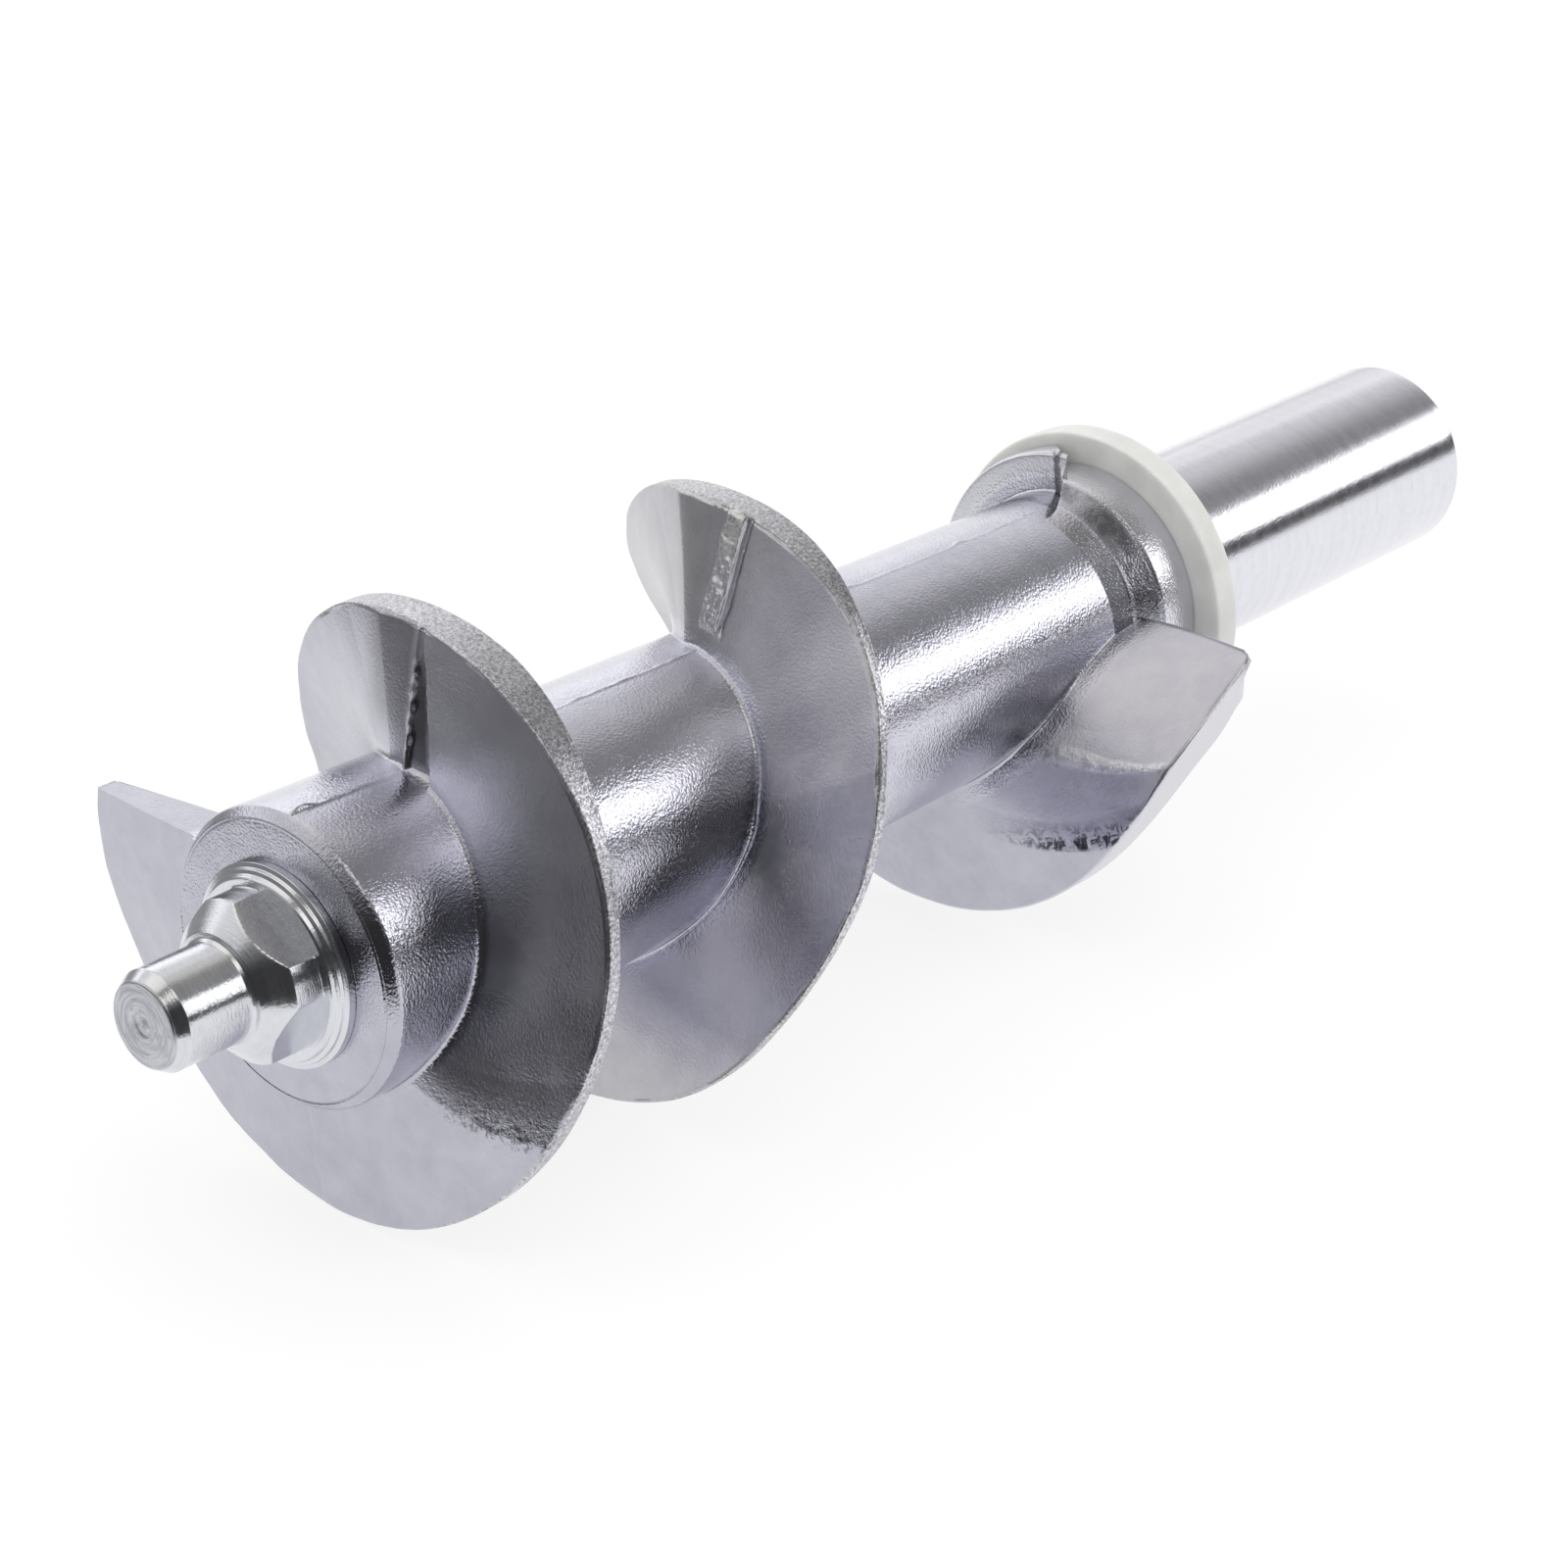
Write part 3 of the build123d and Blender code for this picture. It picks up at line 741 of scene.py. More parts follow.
def cast_material():
    m, nt, b = tree("cast_aluminium")
    n = Nodes(nt)
    pos, x, r, ang = n.coords()
    flight = n.range(r, 11.9, 12.9)  # 0 on the hub, 1 on the flight
    rim = n.range(r, 22.72, 22.95)
    broad = n.noise(pos, 0.16, 3.0, 0.55, 0.6)
    cloud = n.noise(pos, 0.42, 4.0, 0.6, 0.3)
    grain = n.noise(pos, 4.4, 2.0, 0.5)
    fine = n.noise(pos, 9.0, 2.0, 0.6)
    tint = n.math("ADD", n.math("MULTIPLY", broad, 0.55), n.math("MULTIPLY", cloud, 0.45))
    col = n.ramp(tint, [(0.30, (0.440, 0.438, 0.500)), (0.5, (0.490, 0.488, 0.552)), (0.70, (0.540, 0.538, 0.602))])
    rimcol = n.ramp(n.noise(pos, 3.6, 3.0, 0.75), [(0.34, (0.22, 0.22, 0.24)), (0.5, (0.50, 0.50, 0.53)), (0.66, (0.80, 0.80, 0.83))])
    fine_rim = n.range(x, -64, -56, 1.0, 0.15)  # the last half turn's rim is smooth
    rough_rim = n.math("MULTIPLY", rim, fine_rim)
    base = n.mix(n.math("MULTIPLY", rough_rim, 0.8), col, rimcol)
    base = n.mix(n.math("MULTIPLY", n.math("SUBTRACT", rim, rough_rim), 0.8), base, (0.76, 0.76, 0.79, 1))
    # marks that the die left are on the front faces of the flight only
    tcn = nt.nodes.new("ShaderNodeTexCoord")
    sepn = nt.nodes.new("ShaderNodeSeparateXYZ")
    nt.links.new(tcn.outputs["Normal"], sepn.inputs[0])
    nx = sepn.outputs[0]
    facing = n.range(nx, -0.25, 0.05, 1.0, 0.0)
    # dark pores along the crease of the last half turn
    turn = n.math("FRACT", n.math("ADD", n.math("MULTIPLY", ang, -1 / TURN), 1.0))
    sf = n.math("DIVIDE", n.math("SUBTRACT", r, 11.5), 11.5)
    line = n.math("MULTIPLY_ADD", sf, 0.128, 0.289)
    u = n.math("MULTIPLY", n.math("MULTIPLY", n.math("SUBTRACT", turn, line), TURN), r)
    near = n.math("MULTIPLY", n.range(u, -0.5, 0.3), n.range(u, 1.0, 4.5, 1.0, 0.0))
    near = n.math("MULTIPLY", near, n.math("MULTIPLY", n.range(sf, 0.25, 0.75), n.range(x, -56, -52)))
    near = n.math("MULTIPLY", near, n.math("MULTIPLY", facing, n.range(sf, 0.975, 0.995, 1.0, 0.0)))
    pores = n.range(n.noise(pos, 1.1, 4.0, 0.75, 0.8), 0.46, 0.56)
    base = n.mix(n.math("MULTIPLY", near, pores), base, (0.045, 0.045, 0.055, 1))
    # painted shade: a dark strip beside the flash of the first turn, on the shadowed side of its ridge; brighter
    # ragged metal on the flash of the second turn, and a painted highlight on the last crease
    xs = n.math("SUBTRACT", x, X_HUB)

    def across(line0, slope):
        t0 = n.math("MULTIPLY_ADD", sf, slope, line0)
        return n.math("MULTIPLY", n.math("MULTIPLY", n.math("SUBTRACT", turn, t0), TURN), r)

    ragged = n.math("MULTIPLY", n.math("SUBTRACT", n.noise(pos, 1.4, 3.0, 0.6), 0.5), 0.9)
    u1 = n.math("ADD", across(SEAM_TOP, 0.0), ragged)
    wide = n.math("MULTIPLY_ADD", n.math("SUBTRACT", 1.0, sf, clamp=True), 1.9, 0.30)
    # painted shade on the shadowed side of the first turn's flash ridge
    flash_side_painted_shade = n.math("MULTIPLY", n.range(u1, n.math("MULTIPLY", wide, -1.25), n.math("MULTIPLY", wide, -0.8)), n.range(u1, -0.25, -0.05, 1.0, 0.0))
    flash_side_painted_shade = n.math("MULTIPLY", flash_side_painted_shade, n.math("MULTIPLY", n.range(xs, 40, 44, 1.0, 0.0), n.math("MULTIPLY", flight, n.range(sf, 0.62, 0.9, 1.0, 0.0))))
    flash_side_painted_shade = n.math("MULTIPLY", flash_side_painted_shade, facing)
    base = n.mix(n.math("MULTIPLY", flash_side_painted_shade, 0.80), base, (0.06, 0.06, 0.065, 1))
    u2 = n.math("ADD", across(0.730, 0.0), n.math("MULTIPLY", ragged, 0.5))
    flash = n.math("MULTIPLY", n.range(u2, -1.2, -0.9), n.range(u2, 0.75, 1.05, 1.0, 0.0))
    flash = n.math("MULTIPLY", flash, n.math("MULTIPLY", n.range(xs, 44, 48), n.range(sf, 0.14, 0.22)))
    flash = n.math("MULTIPLY", flash, facing)
    pits = n.range(n.noise(pos, 2.4, 3.0, 0.7), 0.38, 0.48, 0.0, 1.0)
    base = n.mix(n.math("MULTIPLY", flash, 0.75), base, n.mix(pits, (0.20, 0.20, 0.21, 1), (0.80, 0.80, 0.82, 1)))
    # painted highlight along the crest of the last turn, broken up by noise
    u3 = n.math("ADD", across(0.422, 0.045), n.math("MULTIPLY", ragged, 0.35))
    crest_painted_highlight = n.math("MULTIPLY", n.range(n.math("ABSOLUTE", u3), n.range(sf, 0.2, 0.9, 0.45, 0.15), n.range(sf, 0.2, 0.9, 1.0, 0.5), 1.0, 0.0), n.range(xs, 66, 70))
    crest_painted_highlight = n.math("MULTIPLY", crest_painted_highlight, n.math("MULTIPLY", n.range(sf, 0.08, 0.25), n.range(sf, 0.90, 0.97, 1.0, 0.0)))
    crest_painted_highlight = n.math("MULTIPLY", crest_painted_highlight, facing)
    broken = n.range(n.noise(pos, 2.0, 3.0, 0.7), 0.38, 0.55, 0.35, 1.0)
    base = n.mix(n.math("MULTIPLY", n.math("MULTIPLY", crest_painted_highlight, broken), 0.6), base, (0.82, 0.82, 0.86, 1))
    # mottled, rough metal along the kink of the first turn
    u5 = across(0.370, 0.0525)
    kink = n.math("MULTIPLY", n.math("MULTIPLY", n.range(u5, -1.6, -0.2), n.range(u5, 0.6, 4.5, 1.0, 0.0)), n.math("MULTIPLY", flight, n.range(xs, 28, 32, 1.0, 0.0)))
    kink = n.math("MULTIPLY", kink, n.math("MULTIPLY", facing, n.range(sf, 0.15, 0.55)))
    dots = n.range(n.noise(pos, 1.9, 4.0, 0.8, 0.4), 0.50, 0.60)
    base = n.mix(n.math("MULTIPLY", n.math("MULTIPLY", kink, dots), 0.7), base, (0.10, 0.10, 0.11, 1))
    torn = n.math("ADD", n.math("ADD", flash, crest_painted_highlight), kink, clamp=True)
    collar = n.math("MULTIPLY", n.range(xs, 92.9, 93.5), n.range(r, 11.6, 11.9))  # the flange's rim
    base = n.mix(n.math("MULTIPLY", collar, 0.7), base, (0.66, 0.66, 0.70, 1))
    # painted shade in the groove of the flange's neck and in the gap where the die's halves meet there
    neck_painted_shade = n.math("MULTIPLY", n.range(xs, 90.2, 90.8), n.range(xs, 92.7, 93.2, 1.0, 0.0))
    neck_painted_shade = n.math("MULTIPLY", neck_painted_shade, n.range(r, 12.0, 12.1, 1.0, 0.0))
    base = n.mix(n.math("MULTIPLY", neck_painted_shade, n.range(n.noise(pos, 0.5, 3.0, 0.6), 0.35, 0.6, 0.15, 0.62)), base, (0.08, 0.08, 0.085, 1))
    t_seam = n.range(xs, 88.0, 94.1, 0.712, 0.764, "LINEAR")
    u6 = n.math("MULTIPLY", n.math("MULTIPLY", n.math("SUBTRACT", turn, t_seam), TURN), r)
    u6 = n.math("ADD", u6, n.math("MULTIPLY", ragged, 0.8))
    # painted shade in the gap at the flange's parting seam
    seam_gap_painted_shade = n.math("MULTIPLY", n.range(u6, -0.45, -0.20), n.range(u6, 0.20, 0.45, 1.0, 0.0))
    seam_gap_painted_shade = n.math("MULTIPLY", seam_gap_painted_shade, n.math("MULTIPLY", n.range(xs, 88.0, 89.0), n.range(xs, 95.0, 95.6, 1.0, 0.0)))
    base = n.mix(n.math("MULTIPLY", seam_gap_painted_shade, 0.75), base, (0.06, 0.06, 0.065, 1))
    # the hub is smoother and brighter than the faces of the flight; the flight's rear sides get painted light
    on_hub = n.math("MULTIPLY", n.math("SUBTRACT", 1.0, flight), n.range(n.math("ABSOLUTE", nx), 0.12, 0.30, 1.0, 0.0))
    gain = n.math("ADD", 1.0, n.math("MULTIPLY", on_hub, 0.25))
    # painted light: faces turned towards +X, the flight's rear sides, are made brighter
    gain = n.math("ADD", gain, n.math("MULTIPLY", n.range(nx, 0.25, 0.6), 0.38))
    # painted light and shade on the flight's front faces: painted light on one side of the second turn and near the
    # first turn's root, painted shade a little further along the second turn and on the fan beside the first turn's
    # flash
    skin = n.math("MULTIPLY", flight, facing)
    painted_light_turn2 = n.math("MULTIPLY", n.range(xs, 35, 38.5), n.range(xs, 40.5, 42.5, 1.0, 0.0))
    painted_light_root = n.math("MULTIPLY", n.range(xs, 7, 9), n.math("MULTIPLY", n.range(xs, 11, 13.5, 1.0, 0.0), n.range(sf, 0.15, 0.80, 1.0, 0.0)))
    painted_shade_turn2 = n.math("MULTIPLY", n.range(xs, 41, 43), n.range(xs, 46, 54, 1.0, 0.0))
    gain = n.math("ADD", gain, n.math("MULTIPLY", skin, n.math("ADD", n.math("MULTIPLY", painted_light_turn2, 0.36), n.math("MULTIPLY", painted_light_root, 0.50))))
    gain = n.math("SUBTRACT", gain, n.math("MULTIPLY", skin, n.math("MULTIPLY", painted_shade_turn2, 0.12)))
    # painted shade on the fan beside the first turn's flash
    painted_shade_fan = n.math("MULTIPLY", n.range(u1, 0.2, 1.0), n.range(u1, 4.5, 8.0, 1.0, 0.0))
    painted_shade_fan = n.math("MULTIPLY", n.math("MULTIPLY", painted_shade_fan, skin), n.math("MULTIPLY", n.range(xs, 40, 44, 1.0, 0.0), n.range(sf, 0.1, 0.4)))
    gain = n.math("SUBTRACT", gain, n.math("MULTIPLY", painted_shade_fan, 0.33))
    greyer = n.math("MULTIPLY", skin, n.math("MULTIPLY", n.range(xs, 22, 26), n.range(xs, 62, 68, 1.0, 0.0)))
    base = n.mix(n.math("MULTIPLY", greyer, 0.7), base, n.tinted(base, (1.03, 1.02, 0.93)))
    scaled = nt.nodes.new("ShaderNodeVectorMath")
    scaled.operation = "SCALE"
    nt.links.new(base, scaled.inputs[0])
    nt.links.new(gain, scaled.inputs["Scale"])
    base = scaled.outputs[0]
    nt.links.new(base, b.inputs["Base Color"])
    b.inputs["Metallic"].default_value = 1.0
    rough_hub = n.range(cloud, 0.3, 0.7, 0.05, 0.08)
    rough_flight = n.range(broad, 0.3, 0.7, 0.24, 0.28)
    rough = n.math("ADD", n.math("MULTIPLY", rough_hub, n.math("SUBTRACT", 1.0, flight)), n.math("MULTIPLY", rough_flight, flight))
    nt.links.new(rough, b.inputs["Roughness"])
    # orange peel on the hub, finer grain on the flight, coarse trimmed texture on the rim
    peel = n.math("MULTIPLY", grain, n.range(flight, 0, 1, 1.30, 0.6))
    h = n.math("ADD", peel, n.math("MULTIPLY", fine, 0.18))
    h = n.math("ADD", h, n.math("MULTIPLY", n.noise(pos, 1.2, 2.0), 0.14))
    h = n.math("ADD", h, n.math("MULTIPLY", n.math("MULTIPLY", n.noise(pos, 2.2, 3.0, 0.8), rough_rim), 1.3))
    coarse = n.math("ADD", n.math("MULTIPLY", torn, 1.6), n.math("MULTIPLY", collar, 0.5))
    h = n.math("ADD", h, n.math("MULTIPLY", n.noise(pos, 2.6, 3.0, 0.7), coarse))
    nt.links.new(n.bump(h, 1.0, 0.000036), b.inputs["Normal"])
    return m


def steel_material(name, colour, rough_lo, rough_hi, ring_amount, speckle):
    m, nt, b = tree(name)
    n = Nodes(nt)
    pos, x, r, ang = n.coords()
    # turning marks: fine along the axis and the radius, long round the axis
    turned = n.vec(n.math("MULTIPLY", x, 1.0), n.math("MULTIPLY", r, 1.0), n.math("MULTIPLY", ang, 0.35))
    rings = n.noise(turned, 7.0, 3.0, 0.65)
    broad = n.noise(turned, 0.9, 2.0, 0.5)
    spots = n.noise(pos, 1.3, 3.0, 0.6)
    t = n.math("ADD", n.math("MULTIPLY", rings, 0.4), n.math("ADD", n.math("MULTIPLY", broad, 0.3), n.math("MULTIPLY", spots, 0.3)))
    col = n.ramp(t, [(0.30, tuple(c * 0.90 for c in colour)), (0.5, colour), (0.70, tuple(min(1, c * 1.06) for c in colour))])
    end = n.range(x, X_HUB + S_TIP + 0.10, X_HUB + S_TIP + 0.25, 1.0, 0.0)  # the faced end of the pin
    bands = n.range(n.noise(turned, 3.4, 2.0, 0.6), 0.40, 0.60)
    col = n.mix(n.math("MULTIPLY", end, 0.75), col, n.mix(bands, (0.36, 0.37, 0.40, 1), (0.56, 0.57, 0.61, 1)))
    nt.links.new(col, b.inputs["Base Color"])
    b.inputs["Metallic"].default_value = 1.0
    rough = n.math("ADD", n.range(t, 0.35, 0.65, rough_lo, rough_hi), n.math("MULTIPLY", end, 0.14))
    nt.links.new(rough, b.inputs["Roughness"])
    ring_amount = n.math("MULTIPLY_ADD", end, 2.5, ring_amount)
    h = n.math("ADD", n.math("MULTIPLY", rings, ring_amount), n.math("MULTIPLY", n.noise(pos, 5.0, 2.0), speckle))
    nt.links.new(n.bump(h, 1.0, 0.00001), b.inputs["Normal"])
    return m


def washer_material():
    m, nt, b = tree("nylon_washer")
    n = Nodes(nt)
    pos, x, r, ang = n.coords()
    cloud = n.noise(pos, 0.35, 3.0, 0.5)
    fine = n.noise(pos, 6.0, 3.0, 0.6)
    col = n.ramp(cloud, [(0.3, (0.55, 0.55, 0.53)), (0.55, (0.60, 0.60, 0.58)), (0.75, (0.64, 0.64, 0.62))])
    nt.links.new(col, b.inputs["Base Color"])
    nt.links.new(n.range(cloud, 0.3, 0.7, 0.38, 0.52), b.inputs["Roughness"])
    b.inputs["Subsurface Weight"].default_value = 0.5
    b.inputs["Subsurface Scale"].default_value = 0.0012
    b.inputs["Subsurface Radius"].default_value = (1.0, 0.95, 0.85)
    nt.links.new(n.bump(n.math("ADD", fine, n.math("MULTIPLY", cloud, 2.0)), 0.6, 0.00002), b.inputs["Normal"])
    return m


CAST = cast_material()
STEEL = steel_material("turned_steel", (0.69, 0.70, 0.74), 0.12, 0.21, 1.5, 0.9)
POLISHED = steel_material("polished_journal", (0.745, 0.745, 0.80), 0.11, 0.17, 0.35, 0.9)
NYLON = washer_material()

# ------------------------------------------------------------------------------ pieces
casting = union([hub_mesh(), flight_mesh()], "cast_auger")


def unevenness(p):
    """Waviness of the cast skin."""
    return 0.014 * noise(p, 7.0, 71) + 0.0045 * noise(p, 2.4, 72)


push(casting, unevenness)
for v in casting.data.vertices:  # nothing stands outside the flight's true radius
    out = math.hypot(v.co.y, v.co.z) / (22.985 * MM)
    if out > 1.0:
        v.co.y /= out
        v.co.z /= out
finish_piece(casting, CAST)
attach(casting, "screw")
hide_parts("auger_casting")


def spindle_mesh():
    tip = S_TIP
    sq0, sq1 = -5.95, -1.6
    prof = rounded(
        [
            (tip, 0), (tip + 0.07, 0.7), (tip, 1.0), (tip, 3.30), (tip + 1.05, 3.95), (sq0 - 0.35, 3.95),
            (sq0 - 0.05, 4.10), (sq0, 4.50), (sq0 + 1.9, 6.4), (sq1, 6.45), (sq1, 7.05), (sq1 + 0.10, 7.2),
            (sq1 + 0.42, 7.32), (sq1 + 0.50, 7.62), (sq1 + 0.80, 7.70), (sq1 + 0.90, 8.05), (-0.06, 8.05), (0.02, 7.9), (0.02, 0),
        ],
        [0, 0.1, 0.1, 0.12, 0.12, 0.15, 0.1, 0.12, 0.10, 0.12, 0.08, 0.05, 0.05, 0.05, 0.05, 0.06, 0.04, 0, 0],
        3,
    )
    prof = refined(prof, 0.16)
    flat = 5.5
    tw = math.radians(-15.0)  # one corner points 15 degrees above -Y

    def shape(s, r, a):
        # across the flats, with the flats' normals at 45 degrees from the corners
        c = np.cos(a - math.pi - tw - math.pi / 4)
        d = np.sin(a - math.pi - tw - math.pi / 4)
        sq = flat / np.maximum(np.abs(c), np.abs(d))
        on = (s > sq0 - 0.02) & (s < sq1 - 0.001)
        k = 0.07
        h = np.clip(0.5 + 0.5 * (sq - r) / k, 0, 1)
        soft = sq * (1 - h) + r * h - k * h * (1 - h)
        return s, np.where(on, soft, r)

    return revolved("turned_spindle", prof, n=480, radius=shape)


spindle = spindle_mesh()
finish_piece(spindle, STEEL, sharp=30)
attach(spindle, "screw")
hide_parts("knife_spindle")


def journal_mesh():
    hexr = 5.5
    out = rounded(
        [(S_REAR - 3.0, 0), (S_REAR - 3.0, 8.0), (S_REAR - 0.02, 8.0), (S_REAR - 0.02, 8.6), (S_W1 + 0.05, 8.6), (S_W1 + 0.05, 9.0), (S_W1 + 0.2, R_JOURNAL),
         (S_END - 0.8, R_JOURNAL), (S_END, R_JOURNAL - 0.8), (S_END, 6.5), (S_END - 0.9, 5.55), (S_END - 22.0, 5.55), (S_END - 25.0, 5.3), (S_END - 28.0, 0)],
        [0, 0.2, 0, 0.1, 0.1, 0.05, 0.1, 0.25, 0.2, 0.15, 0, 0.2, 0.2, 0],
        4,
    )
    out = refined(out, 0.9)

    def shape(s, r, a):
        inside = (s < S_END - 0.5) & (s > S_END - 22.3) & (r < 6.3)
        w = (a + math.pi / 6) % (math.pi / 3) - math.pi / 6
        hexa = hexr / np.cos(w)
        return s, np.where(inside, np.where(s > S_END - 0.95, np.maximum(np.minimum(r, hexa + 1), np.minimum(hexa, 5.6 + (s - S_END + 0.9))), hexa), r)

    return revolved("smooth_journal", out, n=288, radius=shape)


journal = journal_mesh()
finish_piece(journal, POLISHED, sharp=30)
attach(journal, "screw")
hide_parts("drive_journal")


def washer_mesh():
    prof = rounded(
        [(S_W0, 12.0), (S_W0, R_WASHER), (S_W1, R_WASHER), (S_W1, 8.65), (S_W0, 8.65), (S_W0, 12.0)],
        [0, 0.28, 0.35, 0.3, 0.3, 0],
        5,
    )
    prof = refined(prof, 0.5)

    def shape(s, r, a):
        p = np.stack([s, r * np.cos(a), r * np.sin(a)], -1).reshape(-1, 3)
        d = -0.03 + 0.03 * noise(p, 4.0, 81).reshape(a.shape)
        return s, np.where(r > 12.1, r + d * smooth(r, 12, 15), r)

    return revolved("nylon_ring", prof, n=256, radius=shape)


washer = washer_mesh()
finish_piece(washer, NYLON)
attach(washer, "washer")
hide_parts("thrust_washer")

# ------------------------------------------------------------------------------ floor
bpy.ops.mesh.primitive_plane_add(size=6.0, location=(0, 0, CAD_BOX[0].z - 0.0002))
floor = bpy.context.object
floor.name = "floor"
fm, fnt, fb = tree("floor")
fb.inputs["Base Color"].default_value = (0.17, 0.17, 0.17, 1)
fb.inputs["Emission Color"].default_value = (1.0, 1.0, 1.0, 1)
fb.inputs["Emission Strength"].default_value = 0.80
fb.inputs["Roughness"].default_value = 0.85
fb.inputs["Specular IOR Level"].default_value = 0.1
floor.data.materials.append(fm)


# ------------------------------------------------------------------------------ light
def studio_world():
    """A soft studio as a world: seen directly it is a plain pale backdrop, in reflections it has
    a white softbox, a mid grey ceiling and darker walls behind the camera."""
    w = bpy.data.worlds.new("studio")
    scene.world = w
    w.use_nodes = True
    nt = w.node_tree
    nt.nodes.clear()
    n = Nodes(nt)
    tc = nt.nodes.new("ShaderNodeTexCoord")
    sep = nt.nodes.new("ShaderNodeSeparateXYZ")
    nt.links.new(tc.outputs["Generated"], sep.inputs[0])
    x, y, z = sep.outputs
    el = n.math("MULTIPLY", n.math("ARCSINE", z), 180 / math.pi)
    az = n.math("MULTIPLY", n.math("ARCTAN2", y, x), 180 / math.pi)  # 0 at +X, 90 at +Y

    def window(v, a0, a1, soft):
        up = n.range(v, a0 - soft, a0 + soft, 0.0, 1.0)
        down = n.range(v, a1 - soft, a1 + soft, 1.0, 0.0)
        return n.math("MULTIPLY", up, down)

    def box(az0, az1, azs, el0, el1, els):
        return n.math("MULTIPLY", window(az, az0, az1, azs), window(el, el0, el1, els))

    # the softbox's top edge rises towards the front
    top = n.range(az, -58, -38, 43.0, 28.3, "LINEAR")
    over = n.range(n.math("SUBTRACT", el, top), -0.8, 0.8, 1.0, 0.0)
    softbox = n.math("MULTIPLY", n.math("MULTIPLY", window(az, -57, -15, 2.0), n.range(el, 10.8, 12.2)), n.math("MULTIPLY", over, 2.0))
    # grey ceiling, lighter over the far side, white backdrop behind the object
    level = n.range(az, -14, 22, 0.30, 0.72)
    far = n.math("MULTIPLY", n.range(az, 28, 48), n.range(az, 165, 200, 1.0, 0.0))
    level = n.math("ADD", level, n.math("MULTIPLY", far, n.math("ADD", n.range(el, 8, 34, 0.22, 0.14), n.math("MULTIPLY", window(el, 9.5, 30, 1.5), 0.50))))
    level = n.math("MULTIPLY", level, n.range(az, 120, 175, 1.0, 0.75))
    level = n.math("ADD", level, softbox)  # softbox
    level = n.math("ADD", level, n.math("MULTIPLY", box(-150, -75, 8, 50, 76, 4), 1.0))
    level = n.math("ADD", level, n.math("MULTIPLY", box(35, 178, 6, 46, 88, 5), 0.24))
    level = n.math("ADD", level, n.math("MULTIPLY", box(3, 32, 5, 10, 28, 2), 0.35))
    gap = box(-130, -12, 6, 2.2, 11.6, 0.8)  # dark line under the softbox
    level = n.math("MULTIPLY", level, n.math("SUBTRACT", 1.0, n.math("MULTIPLY", gap, 0.72)))
    colour = nt.nodes.new("ShaderNodeCombineColor")
    warm = n.range(el, 40, 60)  # the ceiling is a touch warmer
    for s, k, c in zip(colour.inputs, (1.0, 1.0, 1.0), (0.02, 0.0, -0.06)):
        n.link(n.math("MULTIPLY", level, n.math("MULTIPLY_ADD", warm, c, k)), s)
    lp = nt.nodes.new("ShaderNodeLightPath")
    matt = n.mix(lp.outputs["Is Diffuse Ray"], colour.outputs[0], (1.12, 1.12, 1.14, 1))
    seen = n.mix(lp.outputs["Is Camera Ray"], matt, (0.98, 0.98, 0.985, 1))
    bg = nt.nodes.new("ShaderNodeBackground")
    nt.links.new(seen, bg.inputs[0])
    out = nt.nodes.new("ShaderNodeOutputWorld")
    nt.links.new(bg.outputs[0], out.inputs[0])


studio_world()


def area(name, location, target, size, watts, glossy=True, colour=(1, 1, 1)):
    d = bpy.data.lights.new(name, "AREA")
    d.shape = "RECTANGLE"
    d.size, d.size_y = size
    d.energy = watts
    d.color = colour
    o = bpy.data.objects.new(name, d)
    scene.collection.objects.link(o)
    o.location = location
    o.rotation_mode = "QUATERNION"
    o.rotation_quaternion = (Vector(target) - Vector(location)).to_track_quat("-Z", "Y")
    o.visible_glossy = glossy
    return o


area("overhead", (-0.05, 0.1, 1.1), (-0.05, 0, 0), (1.8, 1.8), 6.0, glossy=False)


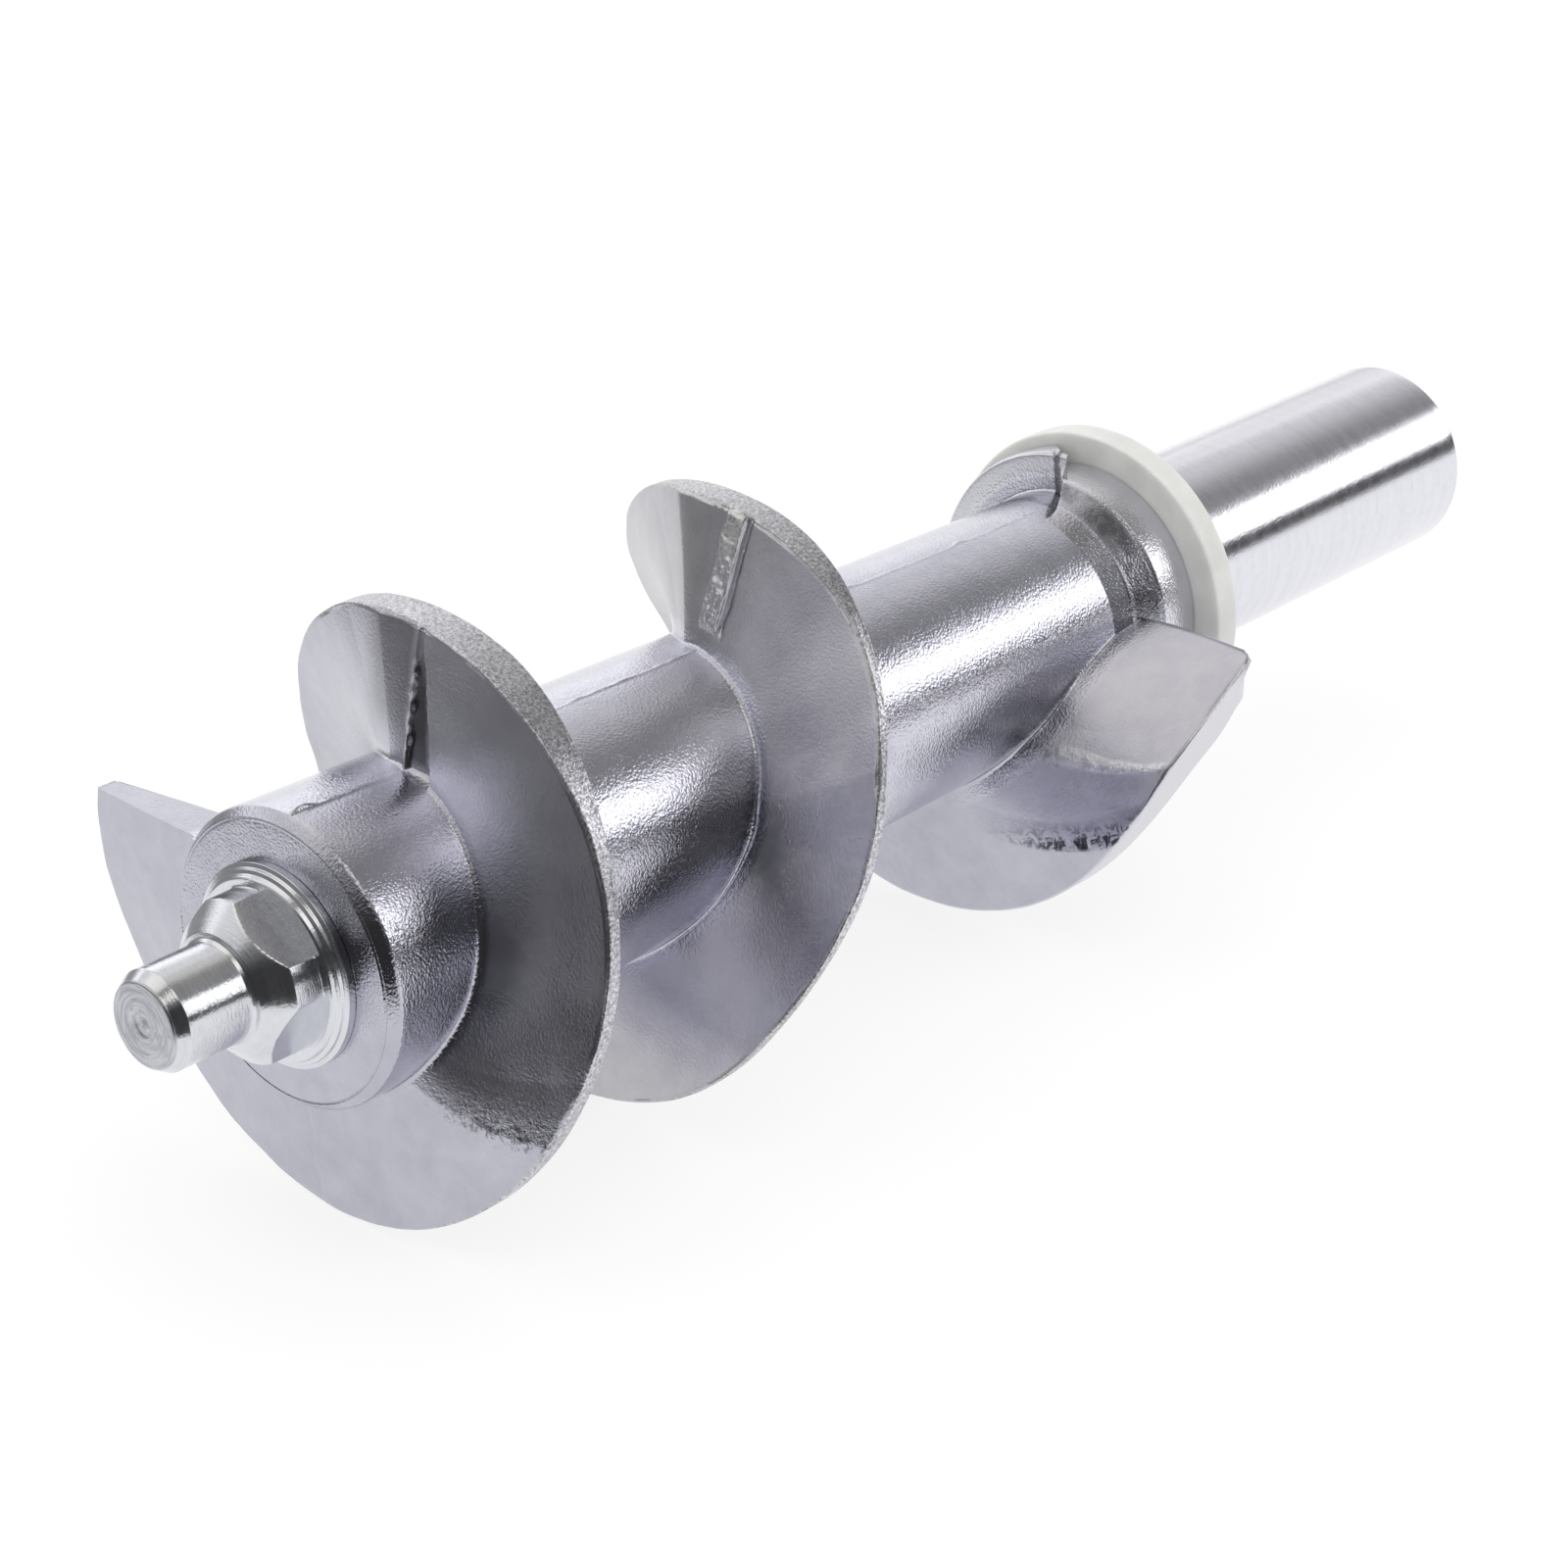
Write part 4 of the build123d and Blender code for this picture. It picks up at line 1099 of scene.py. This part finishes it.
def dark_wall():
    """The unlit side of the studio: a curved wall round the front end, seen by gloss only."""
    cx, cy, z0, z1 = -0.105, 0.0, CAD_BOX[0].z + 0.0002, 0.085
    verts, faces = [], []
    n_a, n_z = 64, 6
    for i in range(n_a + 1):
        deg = 75 + (286 - 75) * i / n_a
        a = math.radians(deg)
        rad = float(np.interp(deg, (75, 92, 135, 160, 200, 235, 262, 286), (0.135, 0.125, 0.105, 0.080, 0.075, 0.085, 0.105, 0.12)))
        for k in range(n_z + 1):
            verts.append((cx + rad * math.cos(a), cy + rad * math.sin(a), z0 + (z1 - z0) * k / n_z))
    for i in range(n_a):
        for k in range(n_z):
            q = i * (n_z + 1) + k
            faces.append((q, q + n_z + 1, q + n_z + 2, q + 1))
    mesh = bpy.data.meshes.new("dark_wall")
    mesh.from_pydata(verts, [], faces)
    o = bpy.data.objects.new("dark_wall", mesh)
    scene.collection.objects.link(o)
    m = bpy.data.materials.new("dark_wall")
    m.use_nodes = True
    nt = m.node_tree
    nt.nodes.clear()
    n = Nodes(nt)
    tc = nt.nodes.new("ShaderNodeTexCoord")
    sep = nt.nodes.new("ShaderNodeSeparateXYZ")
    nt.links.new(tc.outputs["Object"], sep.inputs[0])
    az = n.math("MULTIPLY", n.math("ARCTAN2", sep.outputs[1], n.math("SUBTRACT", sep.outputs[0], cx)), 180 / math.pi)
    az = n.math("ADD", az, n.math("MULTIPLY", n.math("LESS_THAN", az, 0.0), 360.0))
    grey = n.math("ADD", n.range(az, 95, 145, 0.10, 0.0), n.range(az, 164, 181, 0.23, 0.045))
    out = nt.nodes.new("ShaderNodeOutputMaterial")
    e = nt.nodes.new("ShaderNodeEmission")
    cc = nt.nodes.new("ShaderNodeCombineColor")
    for s_, k in zip(cc.inputs, (1.0, 1.0, 1.0)):
        n.link(n.math("MULTIPLY", grey, k), s_)
    nt.links.new(cc.outputs[0], e.inputs[0])
    clear = nt.nodes.new("ShaderNodeBsdfTransparent")
    mix = nt.nodes.new("ShaderNodeMixShader")
    side = n.range(az, 195, 230)
    top = n.math("SUBTRACT", sep.outputs[2], n.math("MULTIPLY", side, 0.024))
    low = n.math("ADD", n.range(az, 236, 250, 1.0, 0.0), n.range(sep.outputs[2], 0.010, 0.030), clamp=True)
    top = n.range(top, 0.020, 0.060, 1.0, 0.0)
    fade = n.math("MULTIPLY", n.math("MULTIPLY", top, low), n.math("MULTIPLY", n.range(az, 76, 88), n.range(az, 268, 285, 1.0, 0.0)))
    nt.links.new(fade, mix.inputs[0])
    nt.links.new(clear.outputs[0], mix.inputs[1])
    nt.links.new(e.outputs[0], mix.inputs[2])
    nt.links.new(mix.outputs[0], out.inputs[0])
    mesh.materials.append(m)
    o.visible_camera = False
    o.visible_diffuse = False
    o.visible_shadow = False
    o.visible_transmission = False


dark_wall()

# ------------------------------------------------------------------------------ camera
R = 0.023
azim, elev, roll = math.radians(-49.029003), math.radians(24.860703), math.radians(0.358020)
back = Vector((math.sin(azim) * math.cos(elev), -math.cos(azim) * math.cos(elev), math.sin(elev)))
right = Vector((math.cos(azim), math.sin(azim), 0))
up = back.cross(right)
right, up = right * math.cos(roll) + up * math.sin(roll), up * math.cos(roll) - right * math.sin(roll)
focal, dist, cx, cy = 3765.656365, 12.255520, 470.050344, 897.928189
place = -right * ((cx - 800) / focal * dist) - up * ((800 - cy) / focal * dist) + back * dist
cam_data = bpy.data.cameras.new("camera")
cam = bpy.data.objects.new("camera", cam_data)
scene.collection.objects.link(cam)
cam_data.sensor_width = 36.0
cam_data.lens = focal / 1600 * 36.0
cam_data.clip_start, cam_data.clip_end = 0.01, 20
origin = Vector(((X_HUB + 17.894 + 0.4) * MM, 0, 0))  # where the measured camera has its zero
rot = Matrix((right, up, back)).transposed().to_4x4()
rot.translation = place * R + origin
cam.matrix_world = rot
scene.camera = cam

scene.view_settings.view_transform = "Standard"
scene.view_settings.look = "None"
scene.view_settings.exposure = 0.0
scene.view_settings.gamma = 1.0

bpy.context.view_layer.update()
